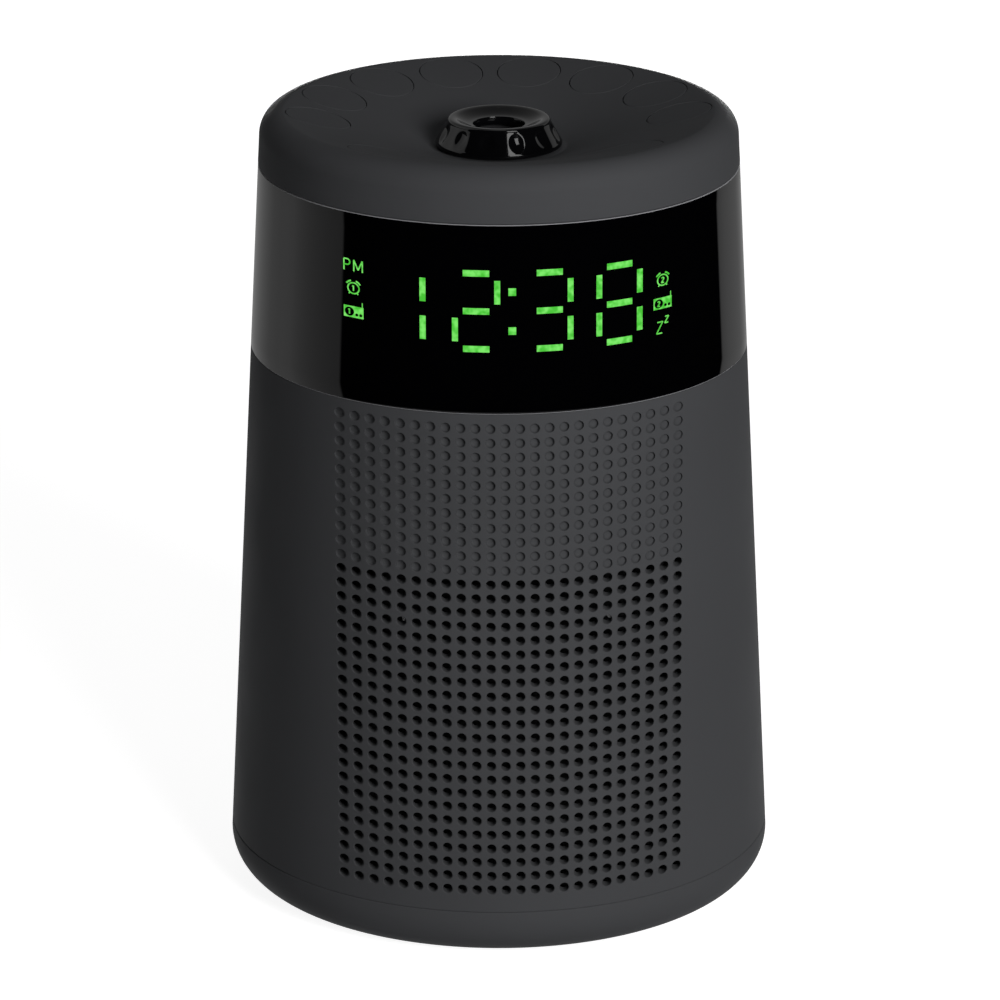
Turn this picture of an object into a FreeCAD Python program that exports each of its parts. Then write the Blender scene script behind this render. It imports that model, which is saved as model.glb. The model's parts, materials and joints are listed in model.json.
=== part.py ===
import FreeCAD
import Part
import math
import os

# Projection alarm clock: a slightly tapered round body with a perforated speaker front, a smoked
# display band near the top, and a dished top with eight keys, a snooze bar and a focusing projector.
# Millimetres. Z is up, the feet stand on z = 0, the axis of the body is the Z axis and the display
# faces -Y.

# Heights of the outer pieces, from the table up
foot_proud = 1.0
base_height = 9.8
shell_height = 95.4
band_height = 35.1
cap_height = 9.8

# Outer form
seam_radius = 51.6
taper = 0.0508
wall = 2.2
band_wall = 2.0
floor_wall = 2.5
base_edge_radius = 8.0
cap_edge_radius = 4.5
edge_steps = 4
spigot_height = 3.0
spigot_wall = 1.5
spigot_clearance = 0.15
clearance = 0.3
seat_overlap = 0.4

# Perforated front
grille_columns = 24
grille_pitch_x = 2.7
grille_rows = 23
grille_pitch_z = 2.675
grille_first_height = 4.4
grille_hole = 1.5

# Top surface
dish_radius = 40.2
dish_break_radius = 27.0
dish_break_drop = 2.9
well_radius = 12.4
well_drop = 7.1
cap_wall = 2.0
key_count = 8
key_radius = 6.0
key_pitch_radius = 33.7
key_pitch_angle = 25.6
key_clearance = 0.15
key_travel = 0.5
key_guide_length = 14.0
key_guide_width = 4.0
key_guide_height = 1.2
stem_width = 3.0
snooze_outer_radius = 38.3
snooze_inner_radius = 25.5
snooze_half_angle = 50.0
snooze_stem_angle = 30.0

# Projector and its focus knob
knob_base_radius = 11.8
knob_top_radius = 9.6
knob_height = 5.2
knob_dish = 1.2
knob_edge = 0.5
knob_rim = 1.4
knob_lip = 1.0
knob_plate = 1.5
knob_flutes = 12
knob_flute_radius = 1.7
knob_flute_depth = 0.45
knob_hub_radius = 9.2
knob_hub_length = 8.2
lens_opening_radius = 4.9
barrel_radius = 7.25
barrel_bore = 6.0
running_clearance = 0.05
barrel_foot_radius = 12.0
barrel_foot_height = 2.5
barrel_collar_height = 3.0
carrier_clearance = 0.1
carrier_wall = 0.9
carrier_length = 7.5
carrier_travel = 1.25
pin_radius = 0.75
pin_reach = 0.65
groove_depth = 0.9
lens_thickness = 3.0
lens_dome = 1.1
lcd_size = 7.6
lcd_thickness = 1.2
lcd_height_over_foot = 15.0
lamp_board_thickness = 1.6
lamp_radius = 2.5
condenser_height_over_foot = 8.0

# Inner frame
deck_drop = 14.2
deck_thickness = 2.5
ledge_height = 2.0
ledge_width = 2.2
post_radius = 3.2
post_circle_radius = 20.0
post_angles = (45.0, 135.0, 225.0, 315.0)
board_thickness = 1.6
key_board_drop = 7.3
key_board_radius = 41.0
key_board_hole_radius = 10.0
boss_radius = 3.5
screw_radius = 1.2
screw_hole_clearance = 0.2
screw_head_radius = 2.6
screw_head_height = 1.6

# Speaker behind the perforated front
speaker_radius = 28.5
speaker_height = 45.0
baffle_distance = 36.5
baffle_thickness = 2.5
speaker_opening_radius = 25.0
gasket_thickness = 0.5
flange_thickness = 2.0
basket_depth = 12.5
basket_neck_radius = 14.0
basket_wall = 1.0
magnet_radius = 16.0
magnet_depth = 10.0
cone_neck_radius = 8.0
cone_depth = 9.0
cone_wall = 0.5
dust_cap_radius = 9.0
speaker_screw_circle_radius = 26.8
speaker_screw_radius = 0.9
speaker_screw_head_radius = 1.5
speaker_screw_head_height = 1.2

# Switches on the key board
switch_size = 6.0
switch_height = 3.5
switch_button_radius = 1.7
switch_button_height = 1.0
switch_gap = 0.6

# Display
display_board_distance = 27.0
display_board_half_width = 31.0
display_board_top_gap = 2.0
light_guide_outer_radius = 42.4
light_guide_thickness = 1.2
light_guide_half_angle = 48.0
led_size = 1.6
led_depth = 0.8
digit_centres = (-19.5, -6.5, 6.5, 19.5)
digit_width = 8.0
digit_height = 15.0
display_mid_height = 122.0

# Main board and the sockets at the back
main_board_distance = 33.0
main_board_half_width = 24.0
main_board_bottom = 27.0
main_board_top = 80.0
rail_width = 6.0
rail_depth = 4.0
socket_height = 35.0
dc_jack_x = -13.0
dc_jack_width = 9.0
dc_jack_bore_radius = 2.75
dc_jack_bore_depth = 9.0
dc_jack_pin_radius = 1.05
usb_x = 12.0
usb_width = 13.2
usb_tall = 6.0
usb_skin = 0.5
usb_tongue = 1.8
usb_depth = 10.5
socket_recess = 0.4
socket_clearance = 0.25
antenna_x = 0.0
antenna_height = 50.0
antenna_radius = 3.0
antenna_bore_radius = 0.9
antenna_flange_radius = 4.2
antenna_flange = 1.0

# Base, feet and battery
foot_count = 4
foot_radius = 6.0
foot_circle_radius = 35.0
foot_recess = 1.0
base_screw_angles = (90.0, 200.0, 340.0)
base_screw_circle_radius = 38.0
base_screw_length = 14.0
boss_height = 12.0
rib_thickness = 1.8
door_radius = 13.5
door_gap = 0.2
door_lug_reach = 1.5
door_lug_height = 1.0
door_lug_half_angle = 12.0
door_turn = 30.0
coin_slot_width = 2.0
coin_slot_length = 14.0
coin_slot_depth = 1.0
cell_radius = 10.0
cell_thickness = 3.2
holder_wall = 2.0
holder_roof = 1.6
contact_thickness = 0.4

# Heights worked out from the stack
base_z = foot_proud
seam_z = base_z + base_height
band_z = seam_z + shell_height
cap_z = band_z + band_height
rim_z = cap_z + cap_height
floor_z = base_z + floor_wall
deck_top = band_z - deck_drop + ledge_height
deck_z = deck_top - deck_thickness
key_board_z = cap_z - key_board_drop
key_board_top = key_board_z + board_thickness
well_z = rim_z - well_drop
dish_break_z = rim_z - dish_break_drop
switch_top = key_board_top + switch_height + switch_button_height
stem_z = switch_top + switch_gap
key_bottom = well_z
knob_z = well_z + clearance
knob_top = knob_z + knob_height
knob_plate_z = knob_top - knob_dish - knob_plate
hub_z = knob_z - knob_hub_length
barrel_top = knob_plate_z - clearance
barrel_foot_top = deck_top + barrel_foot_height
carrier_top = barrel_top - clearance - carrier_travel
carrier_z = carrier_top - carrier_length
pin_z = carrier_z + 2.5
baffle_front = -baffle_distance
baffle_back = baffle_front + baffle_thickness
flange_front = baffle_back + gasket_thickness
flange_back = flange_front + flange_thickness

X_AXIS = FreeCAD.Vector(1, 0, 0)
Y_AXIS = FreeCAD.Vector(0, 1, 0)
Z_AXIS = FreeCAD.Vector(0, 0, 1)
ORIGIN = FreeCAD.Vector(0, 0, 0)


def outer_radius(z):
    """Radius of the tapered outside at height z."""
    return seam_radius - taper * (z - seam_z)


def vec(x, y, z):
    return FreeCAD.Vector(x, y, z)


def polar(radius, degrees, z=0.0):
    turn = math.radians(degrees)
    return vec(radius * math.cos(turn), radius * math.sin(turn), z)


def box(x0, x1, y0, y1, z0, z1):
    return Part.makeBox(x1 - x0, y1 - y0, z1 - z0, vec(x0, y0, z0))


def disc(radius, z0, z1, centre=ORIGIN):
    return Part.makeCylinder(radius, z1 - z0, vec(centre.x, centre.y, z0))


def tube(outer, inner, z0, z1):
    return disc(outer, z0, z1).cut(disc(inner, z0, z1))


def disc_y(radius, y0, y1, z):
    """Cylinder along Y round the axis of the speaker."""
    return Part.makeCylinder(radius, y1 - y0, vec(0, y0, z), Y_AXIS)


def revolve(points, turn=360.0, start=0.0):
    """Solid turned from a closed profile of (radius, height) points."""
    corners = [vec(radius, 0, height) for radius, height in points]
    profile = Part.makePolygon(corners + corners[:1])
    solid = Part.Face(profile).revolve(ORIGIN, Z_AXIS, turn)
    if start:
        solid.rotate(ORIGIN, Z_AXIS, start)
    return solid


def around(shape, degrees):
    turned = shape.copy()
    turned.rotate(ORIGIN, Z_AXIS, degrees)
    return turned


def rounded(centre_r, centre_z, radius, start, end):
    """Profile points of a rounded edge, from one angle to another, in a few even steps."""
    points = []
    for step in range(edge_steps + 1):
        turn = math.radians(start + (end - start) * step / edge_steps)
        points.append((centre_r + radius * math.cos(turn), centre_z + radius * math.sin(turn)))
    return tuple(points)


def inner_space(z0, z1, gap):
    """The room inside the body shell, less a gap."""
    return Part.makeCone(outer_radius(z0) - wall - gap, outer_radius(z1) - wall - gap, z1 - z0, vec(0, 0, z0))


def spigot_points(seat_z, low_z, high_z, skin):
    """Profile radii of a spigot that enters a ring of the given skin thickness."""
    top = outer_radius(high_z) - skin - spigot_clearance
    low = outer_radius(low_z) - skin - spigot_clearance
    return low, top


def grille_prisms():
    """Straight-drawn holes of the front, along Y."""
    prisms = []
    half = grille_hole / 2
    first_x = -grille_pitch_x * (grille_columns - 1) / 2
    first_z = seam_z + grille_first_height
    for column in range(grille_columns):
        x = first_x + column * grille_pitch_x
        reach = math.sqrt(seam_radius ** 2 - x ** 2)
        for row in range(grille_rows):
            z = first_z + row * grille_pitch_z
            radius = outer_radius(z)
            front = -math.sqrt(radius ** 2 - x ** 2) - wall
            depth = wall * radius / math.sqrt(radius ** 2 - (abs(x) + half) ** 2) + 2 * wall
            prisms.append(box(x - half, x + half, front, front + depth, z - half, z + half))
    return prisms


def body_shell():
    inner_low = outer_radius(seam_z) - wall
    inner_top = outer_radius(band_z) - wall
    ledge_top = deck_top + ledge_height
    shell = revolve((
        (outer_radius(seam_z), seam_z),
        (outer_radius(band_z), band_z),
        (inner_top, band_z),
        (outer_radius(ledge_top) - wall, ledge_top),
        (outer_radius(ledge_top) - wall - ledge_width, ledge_top),
        (outer_radius(ledge_top) - wall - ledge_width, deck_top),
        (outer_radius(deck_top) - wall, deck_top),
        (inner_low, seam_z),
    ))
    boss_z = seam_z + spigot_height + clearance
    for angle in base_screw_angles:
        boss = disc(boss_radius, boss_z, boss_z + boss_height, vec(base_screw_circle_radius, 0, 0))
        rib = box(
            base_screw_circle_radius, outer_radius(boss_z) - wall / 2,
            -rib_thickness / 2, rib_thickness / 2, boss_z, boss_z + boss_height,
        )
        bore = disc(screw_radius, boss_z, boss_z + boss_height, vec(base_screw_circle_radius, 0, 0))
        shell = shell.fuse(around(boss.fuse(rib), angle)).cut(around(bore, angle))
    shell = shell.cut(Part.makeCompound(grille_prisms()))
    reach = outer_radius(socket_height)
    openings = [
        box(
            usb_x - usb_width / 2 - socket_clearance, usb_x + usb_width / 2 + socket_clearance,
            main_board_distance, reach,
            socket_height - usb_tall / 2 - socket_clearance, socket_height + usb_tall / 2 + socket_clearance,
        ),
        box(
            dc_jack_x - dc_jack_width / 2 - socket_clearance, dc_jack_x + dc_jack_width / 2 + socket_clearance,
            main_board_distance, reach,
            socket_height - dc_jack_width / 2 - socket_clearance,
            socket_height + dc_jack_width / 2 + socket_clearance,
        ),
        Part.makeCylinder(
            antenna_radius + clearance / 2, 4 * wall,
            vec(antenna_x, outer_radius(antenna_height) - 2 * wall, antenna_height), Y_AXIS,
        ),
    ]
    return shell.cut(Part.makeCompound(openings))


def base_cover():
    outer = outer_radius(seam_z)
    edge = outer_radius(base_z + base_edge_radius)
    inner = outer - wall - spigot_clearance
    cover = revolve((
        (0, base_z),
        *rounded(edge - base_edge_radius, base_z + base_edge_radius, base_edge_radius, -90, 0),
        (outer, seam_z),
        (inner, seam_z),
        (inner - taper * spigot_height, seam_z + spigot_height),
        (inner - spigot_wall, seam_z + spigot_height),
        (inner - spigot_wall, seam_z - spigot_height),
        (inner - spigot_wall - 2 * spigot_height, floor_z),
        (0, floor_z),
    ))
    cuts = []
    for index in range(foot_count):
        centre = polar(foot_circle_radius, 45 + index * 360 / foot_count)
        cuts.append(disc(foot_radius + door_gap, base_z, base_z + foot_recess, centre))
    boss_top = seam_z + spigot_height + clearance
    for angle in base_screw_angles:
        centre = polar(base_screw_circle_radius, angle)
        cover = cover.fuse(disc(boss_radius, floor_z - seat_overlap, boss_top, centre))
        cuts.append(disc(screw_radius + screw_hole_clearance, base_z, boss_top, centre))
        cuts.append(disc(screw_head_radius + screw_hole_clearance, base_z, floor_z, centre))
    cuts.append(disc(door_radius + door_gap, base_z, floor_z))
    for lug in door_lugs(base_z, floor_z, door_gap):
        cuts.append(around(lug, door_turn))
    return cover.cut(Part.makeCompound(cuts))


def door_lugs(z0, z1, gap):
    """The two bayonet lugs of the battery door, or with a gap the notches that let them in."""
    reach = door_radius + door_lug_reach + gap
    lugs = []
    for side in (0, 180):
        half = door_lug_half_angle + math.degrees(gap / door_radius)
        profile = (
            (door_radius - 2 * door_lug_reach, z0), (reach, z0), (reach, z1), (door_radius - 2 * door_lug_reach, z1),
        )
        lugs.append(revolve(profile, 2 * half, side - half))
    return lugs


def battery_door():
    lug_z = floor_z + running_clearance
    door = disc(door_radius, base_z, lug_z + door_lug_height)
    ring = tube(door_radius + door_lug_reach, door_radius - door_lug_reach, floor_z, lug_z + door_lug_height)
    door = door.cut(ring)
    for lug in door_lugs(lug_z, lug_z + door_lug_height, 0):
        door = door.fuse(lug)
    half = coin_slot_length / 2
    slot = box(-half, half, -coin_slot_width / 2, coin_slot_width / 2, base_z, base_z + coin_slot_depth)
    return door.cut(slot)


def battery_holder():
    """Cup that stands on the floor over the door, with a roof over the cell."""
    room_radius = door_radius + door_lug_reach + clearance
    cell_z = floor_z + running_clearance + door_lug_height + clearance
    roof_z = cell_z + cell_thickness + 2 * contact_thickness + clearance
    cup = disc(room_radius + holder_wall, floor_z, roof_z + holder_roof)
    room = disc(room_radius, floor_z, cell_z)
    cell_room = disc(cell_radius + clearance, cell_z, roof_z)
    return cup.cut(room.fuse(cell_room))


def coin_cell():
    cell_z = floor_z + running_clearance + door_lug_height + clearance
    return disc(cell_radius, cell_z, cell_z + cell_thickness)


def battery_contacts():
    """Spring plate on the holder's roof, bent down on to the cell."""
    cell_top = floor_z + running_clearance + door_lug_height + clearance + cell_thickness
    roof_z = cell_top + 2 * contact_thickness + clearance
    half = stem_width
    plate = box(-cell_radius / 2, cell_radius / 2, -half / 2, half / 2, roof_z - contact_thickness, roof_z)
    tip = box(-half / 2, half / 2, -half / 2, half / 2, cell_top, roof_z - contact_thickness)
    return plate.fuse(tip)


def rubber_feet():
    feet = []
    for index in range(foot_count):
        centre = polar(foot_circle_radius, 45 + index * 360 / foot_count)
        feet.append(disc(foot_radius, 0, base_z + foot_recess, centre))
    return Part.makeCompound(feet)


def base_screws():
    screws = []
    for angle in base_screw_angles:
        centre = polar(base_screw_circle_radius, angle)
        head = disc(screw_head_radius, floor_z - screw_head_height, floor_z, centre)
        shaft = disc(screw_radius, floor_z, floor_z + base_screw_length, centre)
        screws.append(head.fuse(shaft))
    return Part.makeCompound(screws)


def display_lens_band():
    inner_top = outer_radius(cap_z) - band_wall
    spigot_z = band_z - spigot_height
    low, top = spigot_points(band_z, spigot_z, band_z, wall)
    return revolve((
        (outer_radius(band_z), band_z),
        (outer_radius(cap_z), cap_z),
        (inner_top, cap_z),
        (outer_radius(band_z + spigot_height) - band_wall, band_z + spigot_height),
        (top - spigot_wall, band_z),
        (top - spigot_wall, spigot_z),
        (low, spigot_z),
        (top, band_z),
    ))


def dish_height(radius):
    """Height of the dished top surface: a steep cone up from the well, then a flatter one to the rim."""
    if radius < dish_break_radius:
        share = (radius - well_radius) / (dish_break_radius - well_radius)
        return well_z + share * (dish_break_z - well_z)
    share = (radius - dish_break_radius) / (dish_radius - dish_break_radius)
    return dish_break_z + share * (rim_z - dish_break_z)


def dish_fill():
    """Everything under the dished top surface, down to the undersides of the keys."""
    bottom = well_z - 2 * cap_wall
    return revolve((
        (0, bottom),
        (dish_radius, bottom),
        (dish_radius, rim_z),
        (dish_break_radius, dish_break_z),
        (well_radius, well_z),
        (0, well_z),
    ))


def key_angles():
    first = 90 + key_pitch_angle * (key_count - 1) / 2
    return [first - index * key_pitch_angle for index in range(key_count)]


def snooze_outline(grow):
    """Curved bar between two arcs with rounded ends, grown all round by a gap."""
    outer = snooze_outer_radius + grow
    inner = snooze_inner_radius - grow
    middle = (outer + inner) / 2
    end_radius = (outer - inner) / 2
    inset = math.degrees((end_radius - grow) / middle)
    left = -90 - snooze_half_angle + inset
    right = -90 + snooze_half_angle - inset
    tip = math.degrees(end_radius / middle)
    return Part.Wire([
        Part.Arc(polar(outer, left), polar(outer, -90), polar(outer, right)).toShape(),
        Part.Arc(polar(outer, right), polar(middle, right + tip), polar(inner, right)).toShape(),
        Part.Arc(polar(inner, right), polar(inner, -90), polar(inner, left)).toShape(),
        Part.Arc(polar(inner, left), polar(middle, left - tip), polar(outer, left)).toShape(),
    ])


def snooze_prism(bottom, top, grow):
    face = Part.Face(snooze_outline(grow))
    face.translate(vec(0, 0, bottom))
    return face.extrude(vec(0, 0, top - bottom))


def top_cap():
    side_top = rim_z - cap_edge_radius
    crest = outer_radius(side_top) - cap_edge_radius
    spigot_z = cap_z - spigot_height
    spigot_low, spigot_top = spigot_points(cap_z, spigot_z, cap_z, band_wall)
    inner = spigot_top - spigot_wall
    cap = revolve((
        (outer_radius(cap_z), cap_z),
        *rounded(crest, side_top, cap_edge_radius, 0, 90),
        (dish_radius, rim_z),
        (dish_break_radius, dish_break_z),
        (well_radius, well_z),
        (knob_hub_radius + clearance, well_z),
        (knob_hub_radius + clearance, well_z - cap_wall),
        (well_radius, well_z - cap_wall),
        (inner, dish_height(dish_radius) - 2 * cap_wall),
        (inner, spigot_z),
        (spigot_low, spigot_z),
        (spigot_top, cap_z),
    ))
    for angle in post_angles:
        centre = polar(post_circle_radius, angle)
        top = dish_height(post_circle_radius) - cap_wall / 2
        boss = disc(post_radius, key_board_top, top, centre)
        cap = cap.fuse(boss).cut(disc(screw_radius, key_board_top, top - cap_wall, centre))
    holes = [
        disc(key_radius + key_clearance, key_board_top, rim_z, polar(key_pitch_radius, angle))
        for angle in key_angles()
    ]
    holes.append(snooze_prism(key_bottom - cap_wall, rim_z + cap_wall, key_clearance))
    return cap.cut(Part.makeCompound(holes))


def key(angle):
    centre = vec(key_pitch_radius, 0, 0)
    body = disc(key_radius, key_bottom, rim_z, centre).common(dish_fill())
    half = key_guide_length / 2
    guide = box(
        key_pitch_radius - key_guide_width / 2, key_pitch_radius + key_guide_width / 2,
        -half, half, key_bottom, key_bottom + key_guide_height,
    )
    side = stem_width / 2
    stem = box(
        key_pitch_radius - side, key_pitch_radius + side, -side, side, stem_z, key_bottom + key_guide_height,
    )
    return around(body.fuse(guide).fuse(stem), angle)


def snooze_bar():
    body = snooze_prism(key_bottom, rim_z, 0).common(dish_fill())
    side = stem_width / 2
    middle = (snooze_inner_radius + snooze_outer_radius) / 2
    for angle in (-90 - snooze_stem_angle, -90 + snooze_stem_angle):
        stem = box(middle - side, middle + side, -side, side, stem_z, key_bottom + side)
        body = body.fuse(around(stem, angle))
    return body


def switch_places():
    middle = (snooze_inner_radius + snooze_outer_radius) / 2
    places = [(key_pitch_radius, angle) for angle in key_angles()]
    places += [(middle, -90 - snooze_stem_angle), (middle, -90 + snooze_stem_angle)]
    return places


def tact_switches():
    switches = []
    half = switch_size / 2
    for radius, angle in switch_places():
        body = box(
            radius - half, radius + half, -half, half, key_board_top, key_board_top + switch_height,
        )
        button = disc(
            switch_button_radius, key_board_top + switch_height, switch_top, vec(radius, 0, 0),
        )
        switches.append(around(body.fuse(button), angle))
    return Part.makeCompound(switches)


def focus_knob():
    groove_half = pin_radius + carrier_travel + running_clearance
    bore = barrel_radius + running_clearance
    side_step = (knob_base_radius - knob_top_radius) / knob_height
    lip = knob_z + knob_lip
    knob = revolve((
        (knob_hub_radius, hub_z),
        (knob_hub_radius, knob_z),
        (knob_base_radius, knob_z),
        (knob_base_radius, lip),
        (knob_top_radius, knob_top - knob_edge),
        (knob_top_radius - knob_edge, knob_top),
        (knob_top_radius - knob_rim, knob_top),
        (lens_opening_radius, knob_top - knob_dish),
        (lens_opening_radius, knob_plate_z),
        (bore, knob_plate_z),
        (bore, pin_z + groove_half),
        (bore + groove_depth, pin_z + groove_half),
        (bore + groove_depth, pin_z - groove_half),
        (bore, pin_z - groove_half),
        (bore, hub_z),
    ))
    tilt = math.degrees(math.atan(side_step))
    flutes = []
    middle = (knob_base_radius + knob_top_radius) / 2
    for index in range(knob_flutes):
        flute = Part.makeCylinder(knob_flute_radius, knob_height - knob_lip - knob_edge, ORIGIN)
        flute.rotate(ORIGIN, Y_AXIS, -tilt)
        flute.translate(vec(middle + knob_flute_radius - knob_flute_depth, 0, lip))
        flutes.append(around(flute, index * 360 / knob_flutes))
    return knob.cut(Part.makeCompound(flutes))


def projector_barrel():
    barrel = tube(barrel_radius, barrel_bore, deck_top, barrel_top)
    foot = tube(barrel_foot_radius, barrel_bore, deck_top, barrel_foot_top)
    collar_top = hub_z - running_clearance
    collar = tube(knob_hub_radius, barrel_bore, collar_top - barrel_collar_height, collar_top)
    barrel = barrel.fuse(foot).fuse(collar)
    half = pin_radius + carrier_clearance
    reach = carrier_travel + half
    slot = box(-2 * barrel_radius, 2 * barrel_radius, -half, half, pin_z - reach, pin_z + reach)
    return barrel.cut(slot)


def lens_carrier():
    outer = barrel_bore - carrier_clearance
    carrier = tube(outer, outer - carrier_wall, carrier_z, carrier_top)
    for side in (0, 180):
        pin = Part.makeCylinder(
            pin_radius, barrel_radius + pin_reach - outer + carrier_wall / 2,
            vec(outer - carrier_wall / 2, 0, pin_z), X_AXIS,
        )
        carrier = carrier.fuse(around(pin, side))
    return carrier


def lens(radius, z, thickness, dome):
    """Clear lens, flat below and domed on top."""
    curve = (radius ** 2 + dome ** 2) / (2 * dome)
    ball = Part.makeSphere(curve, vec(0, 0, z + thickness - curve), X_AXIS)
    return disc(radius, z, z + thickness).common(ball)


def projection_lens():
    radius = barrel_bore - carrier_clearance - carrier_wall - running_clearance
    return lens(radius, carrier_top - lens_thickness - 1.0, lens_thickness, lens_dome)


def condenser_lens():
    radius = barrel_bore - running_clearance
    return lens(radius, barrel_foot_top + condenser_height_over_foot, lens_thickness, lens_dome)


def projector_lcd():
    """Small image panel in a round frame inside the barrel."""
    z = barrel_foot_top + lcd_height_over_foot
    frame = disc(barrel_bore - running_clearance, z, z + lcd_thickness)
    window = box(-lcd_size / 2, lcd_size / 2, -lcd_size / 2, lcd_size / 2, z + lcd_thickness / 2, z + lcd_thickness)
    return frame.cut(window)


def projector_lamp():
    board = disc(barrel_bore - running_clearance, deck_top, deck_top + lamp_board_thickness)
    lamp_z = deck_top + lamp_board_thickness
    body = disc(lamp_radius, lamp_z, lamp_z + lamp_radius)
    chip = lamp_radius / 2
    window = box(-chip, chip, -chip, chip, lamp_z + lamp_radius, lamp_z + lamp_radius + chip)
    return board.fuse(body).fuse(window)


def inner_chassis():
    """One moulded frame: a deck under the shell's ledge, posts for the key board, the speaker baffle
    that reaches the floor, and two rails that carry the main board."""
    deck = disc(outer_radius(deck_top) - wall - clearance, deck_z, deck_top)
    room = inner_space(floor_z, deck_z, clearance)
    spigot_inner = outer_radius(seam_z) - wall - spigot_clearance - spigot_wall
    room = room.cut(tube(2 * seam_radius, spigot_inner - clearance, floor_z, seam_z + spigot_height + clearance))
    low_room = revolve((
        (0, floor_z), (spigot_inner - 2 * spigot_height - clearance, floor_z),
        (spigot_inner - clearance, seam_z - spigot_height), (spigot_inner - clearance, deck_z),
        (0, deck_z),
    ))
    room = room.common(low_room)
    baffle = box(-seam_radius, seam_radius, baffle_front, baffle_back, floor_z, deck_z).common(room)
    baffle = baffle.cut(disc_y(speaker_opening_radius, baffle_front, baffle_back, speaker_height))
    frame = deck.fuse(baffle)
    rail_front = main_board_distance - rail_depth
    for side in (-1, 1):
        middle = side * (main_board_half_width - rail_width / 2)
        frame = frame.fuse(box(
            middle - rail_width / 2, middle + rail_width / 2,
            rail_front, main_board_distance, main_board_bottom, deck_z,
        ))
    cuts = [disc(barrel_bore, deck_z, deck_top - lamp_board_thickness)]
    for angle in post_angles:
        centre = polar(post_circle_radius, angle)
        frame = frame.fuse(disc(post_radius, deck_top, key_board_z, centre))
        cuts.append(disc(screw_radius + screw_hole_clearance, deck_z, key_board_z, centre))
    for angle in (45, 135, 225, 315):
        place = polar(speaker_screw_circle_radius, angle)
        cuts.append(Part.makeCylinder(
            speaker_screw_radius, baffle_thickness,
            vec(place.x, baffle_front, speaker_height + place.y), Y_AXIS,
        ))
    return frame.cut(Part.makeCompound(cuts))


def key_board():
    board = disc(key_board_radius, key_board_z, key_board_top)
    cuts = [disc(key_board_hole_radius, key_board_z, key_board_top)]
    for angle in post_angles:
        centre = polar(post_circle_radius, angle)
        cuts.append(disc(screw_radius + screw_hole_clearance, key_board_z, key_board_top, centre))
    return board.cut(Part.makeCompound(cuts))


def cap_screws():
    """Long screws from under the deck, up the posts and into the bosses of the cap."""
    screws = []
    for angle in post_angles:
        centre = polar(post_circle_radius, angle)
        head = disc(screw_head_radius, deck_z - screw_head_height, deck_z, centre)
        shaft = disc(screw_radius, deck_z, key_board_top + boss_radius, centre)
        screws.append(head.fuse(shaft))
    return Part.makeCompound(screws)


def display_board():
    return box(
        -display_board_half_width, display_board_half_width,
        -display_board_distance, -display_board_distance + board_thickness,
        deck_top, key_board_z - display_board_top_gap,
    )


def display_leds():
    """One emitter per digit segment, on the front of the display board."""
    half = led_size / 2
    front = -display_board_distance - led_depth
    third = digit_height / 2
    offsets = [(0, third), (0, 0), (0, -third)]
    for side in (-1, 1):
        offsets.append((side * digit_width / 2, third / 2))
        offsets.append((side * digit_width / 2, -third / 2))
    leds = []
    for middle in digit_centres:
        for dx, dz in offsets:
            x = middle + dx
            z = display_mid_height + dz
            leds.append(box(x - half, x + half, front, front + led_depth, z - half, z + half))
    return Part.makeCompound(leds)


def light_guide():
    """Curved diffuser just behind the smoked band."""
    inner = light_guide_outer_radius - light_guide_thickness
    top = cap_z - spigot_height - clearance
    return revolve((
        (inner, deck_top),
        (light_guide_outer_radius, deck_top),
        (light_guide_outer_radius, top),
        (inner, top),
    ), 2 * light_guide_half_angle, -90 - light_guide_half_angle)


def speaker_gasket():
    ring = disc_y(speaker_radius, baffle_back, flange_front, speaker_height)
    ring = ring.cut(disc_y(speaker_opening_radius, baffle_back, flange_front, speaker_height))
    return ring.cut(speaker_screw_holes(baffle_back, flange_front, screw_hole_clearance))


def speaker_screw_holes(y0, y1, gap):
    holes = []
    for angle in (45, 135, 225, 315):
        place = polar(speaker_screw_circle_radius, angle)
        holes.append(Part.makeCylinder(
            speaker_screw_radius + gap, y1 - y0, vec(place.x, y0, speaker_height + place.y), Y_AXIS,
        ))
    return Part.makeCompound(holes)


def speaker_frame():
    """Pressed basket: a flat flange and a cone down to the magnet's neck."""
    flange = disc_y(speaker_radius, flange_front, flange_back, speaker_height)
    basket_back = flange_front + basket_depth
    basket = Part.makeCone(
        speaker_opening_radius, basket_neck_radius, basket_depth, vec(0, flange_front, speaker_height), Y_AXIS,
    )
    hollow = Part.makeCone(
        speaker_opening_radius - basket_wall, basket_neck_radius - basket_wall, basket_depth - basket_wall,
        vec(0, flange_front, speaker_height), Y_AXIS,
    )
    frame = flange.fuse(basket).cut(hollow)
    return frame.cut(speaker_screw_holes(flange_front, flange_back, screw_hole_clearance))


def speaker_magnet():
    front = flange_front + basket_depth
    return disc_y(magnet_radius, front, front + magnet_depth, speaker_height)


def speaker_cone():
    """Paper cone, glued at its rim to the flange's lip."""
    rim = speaker_opening_radius - basket_wall - running_clearance
    cone = Part.makeCone(rim, cone_neck_radius, cone_depth, vec(0, flange_front, speaker_height), Y_AXIS)
    hollow = Part.makeCone(
        rim - cone_wall, cone_neck_radius - cone_wall, cone_depth, vec(0, flange_front, speaker_height), Y_AXIS,
    )
    return cone.cut(hollow)


def speaker_dust_cap():
    """Shallow dome that closes the cone's throat."""
    share = (speaker_opening_radius - dust_cap_radius) / (speaker_opening_radius - cone_neck_radius)
    seat = flange_front + cone_depth * share - 1.2
    return disc_y(dust_cap_radius, seat, seat + 0.6, speaker_height)


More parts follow.
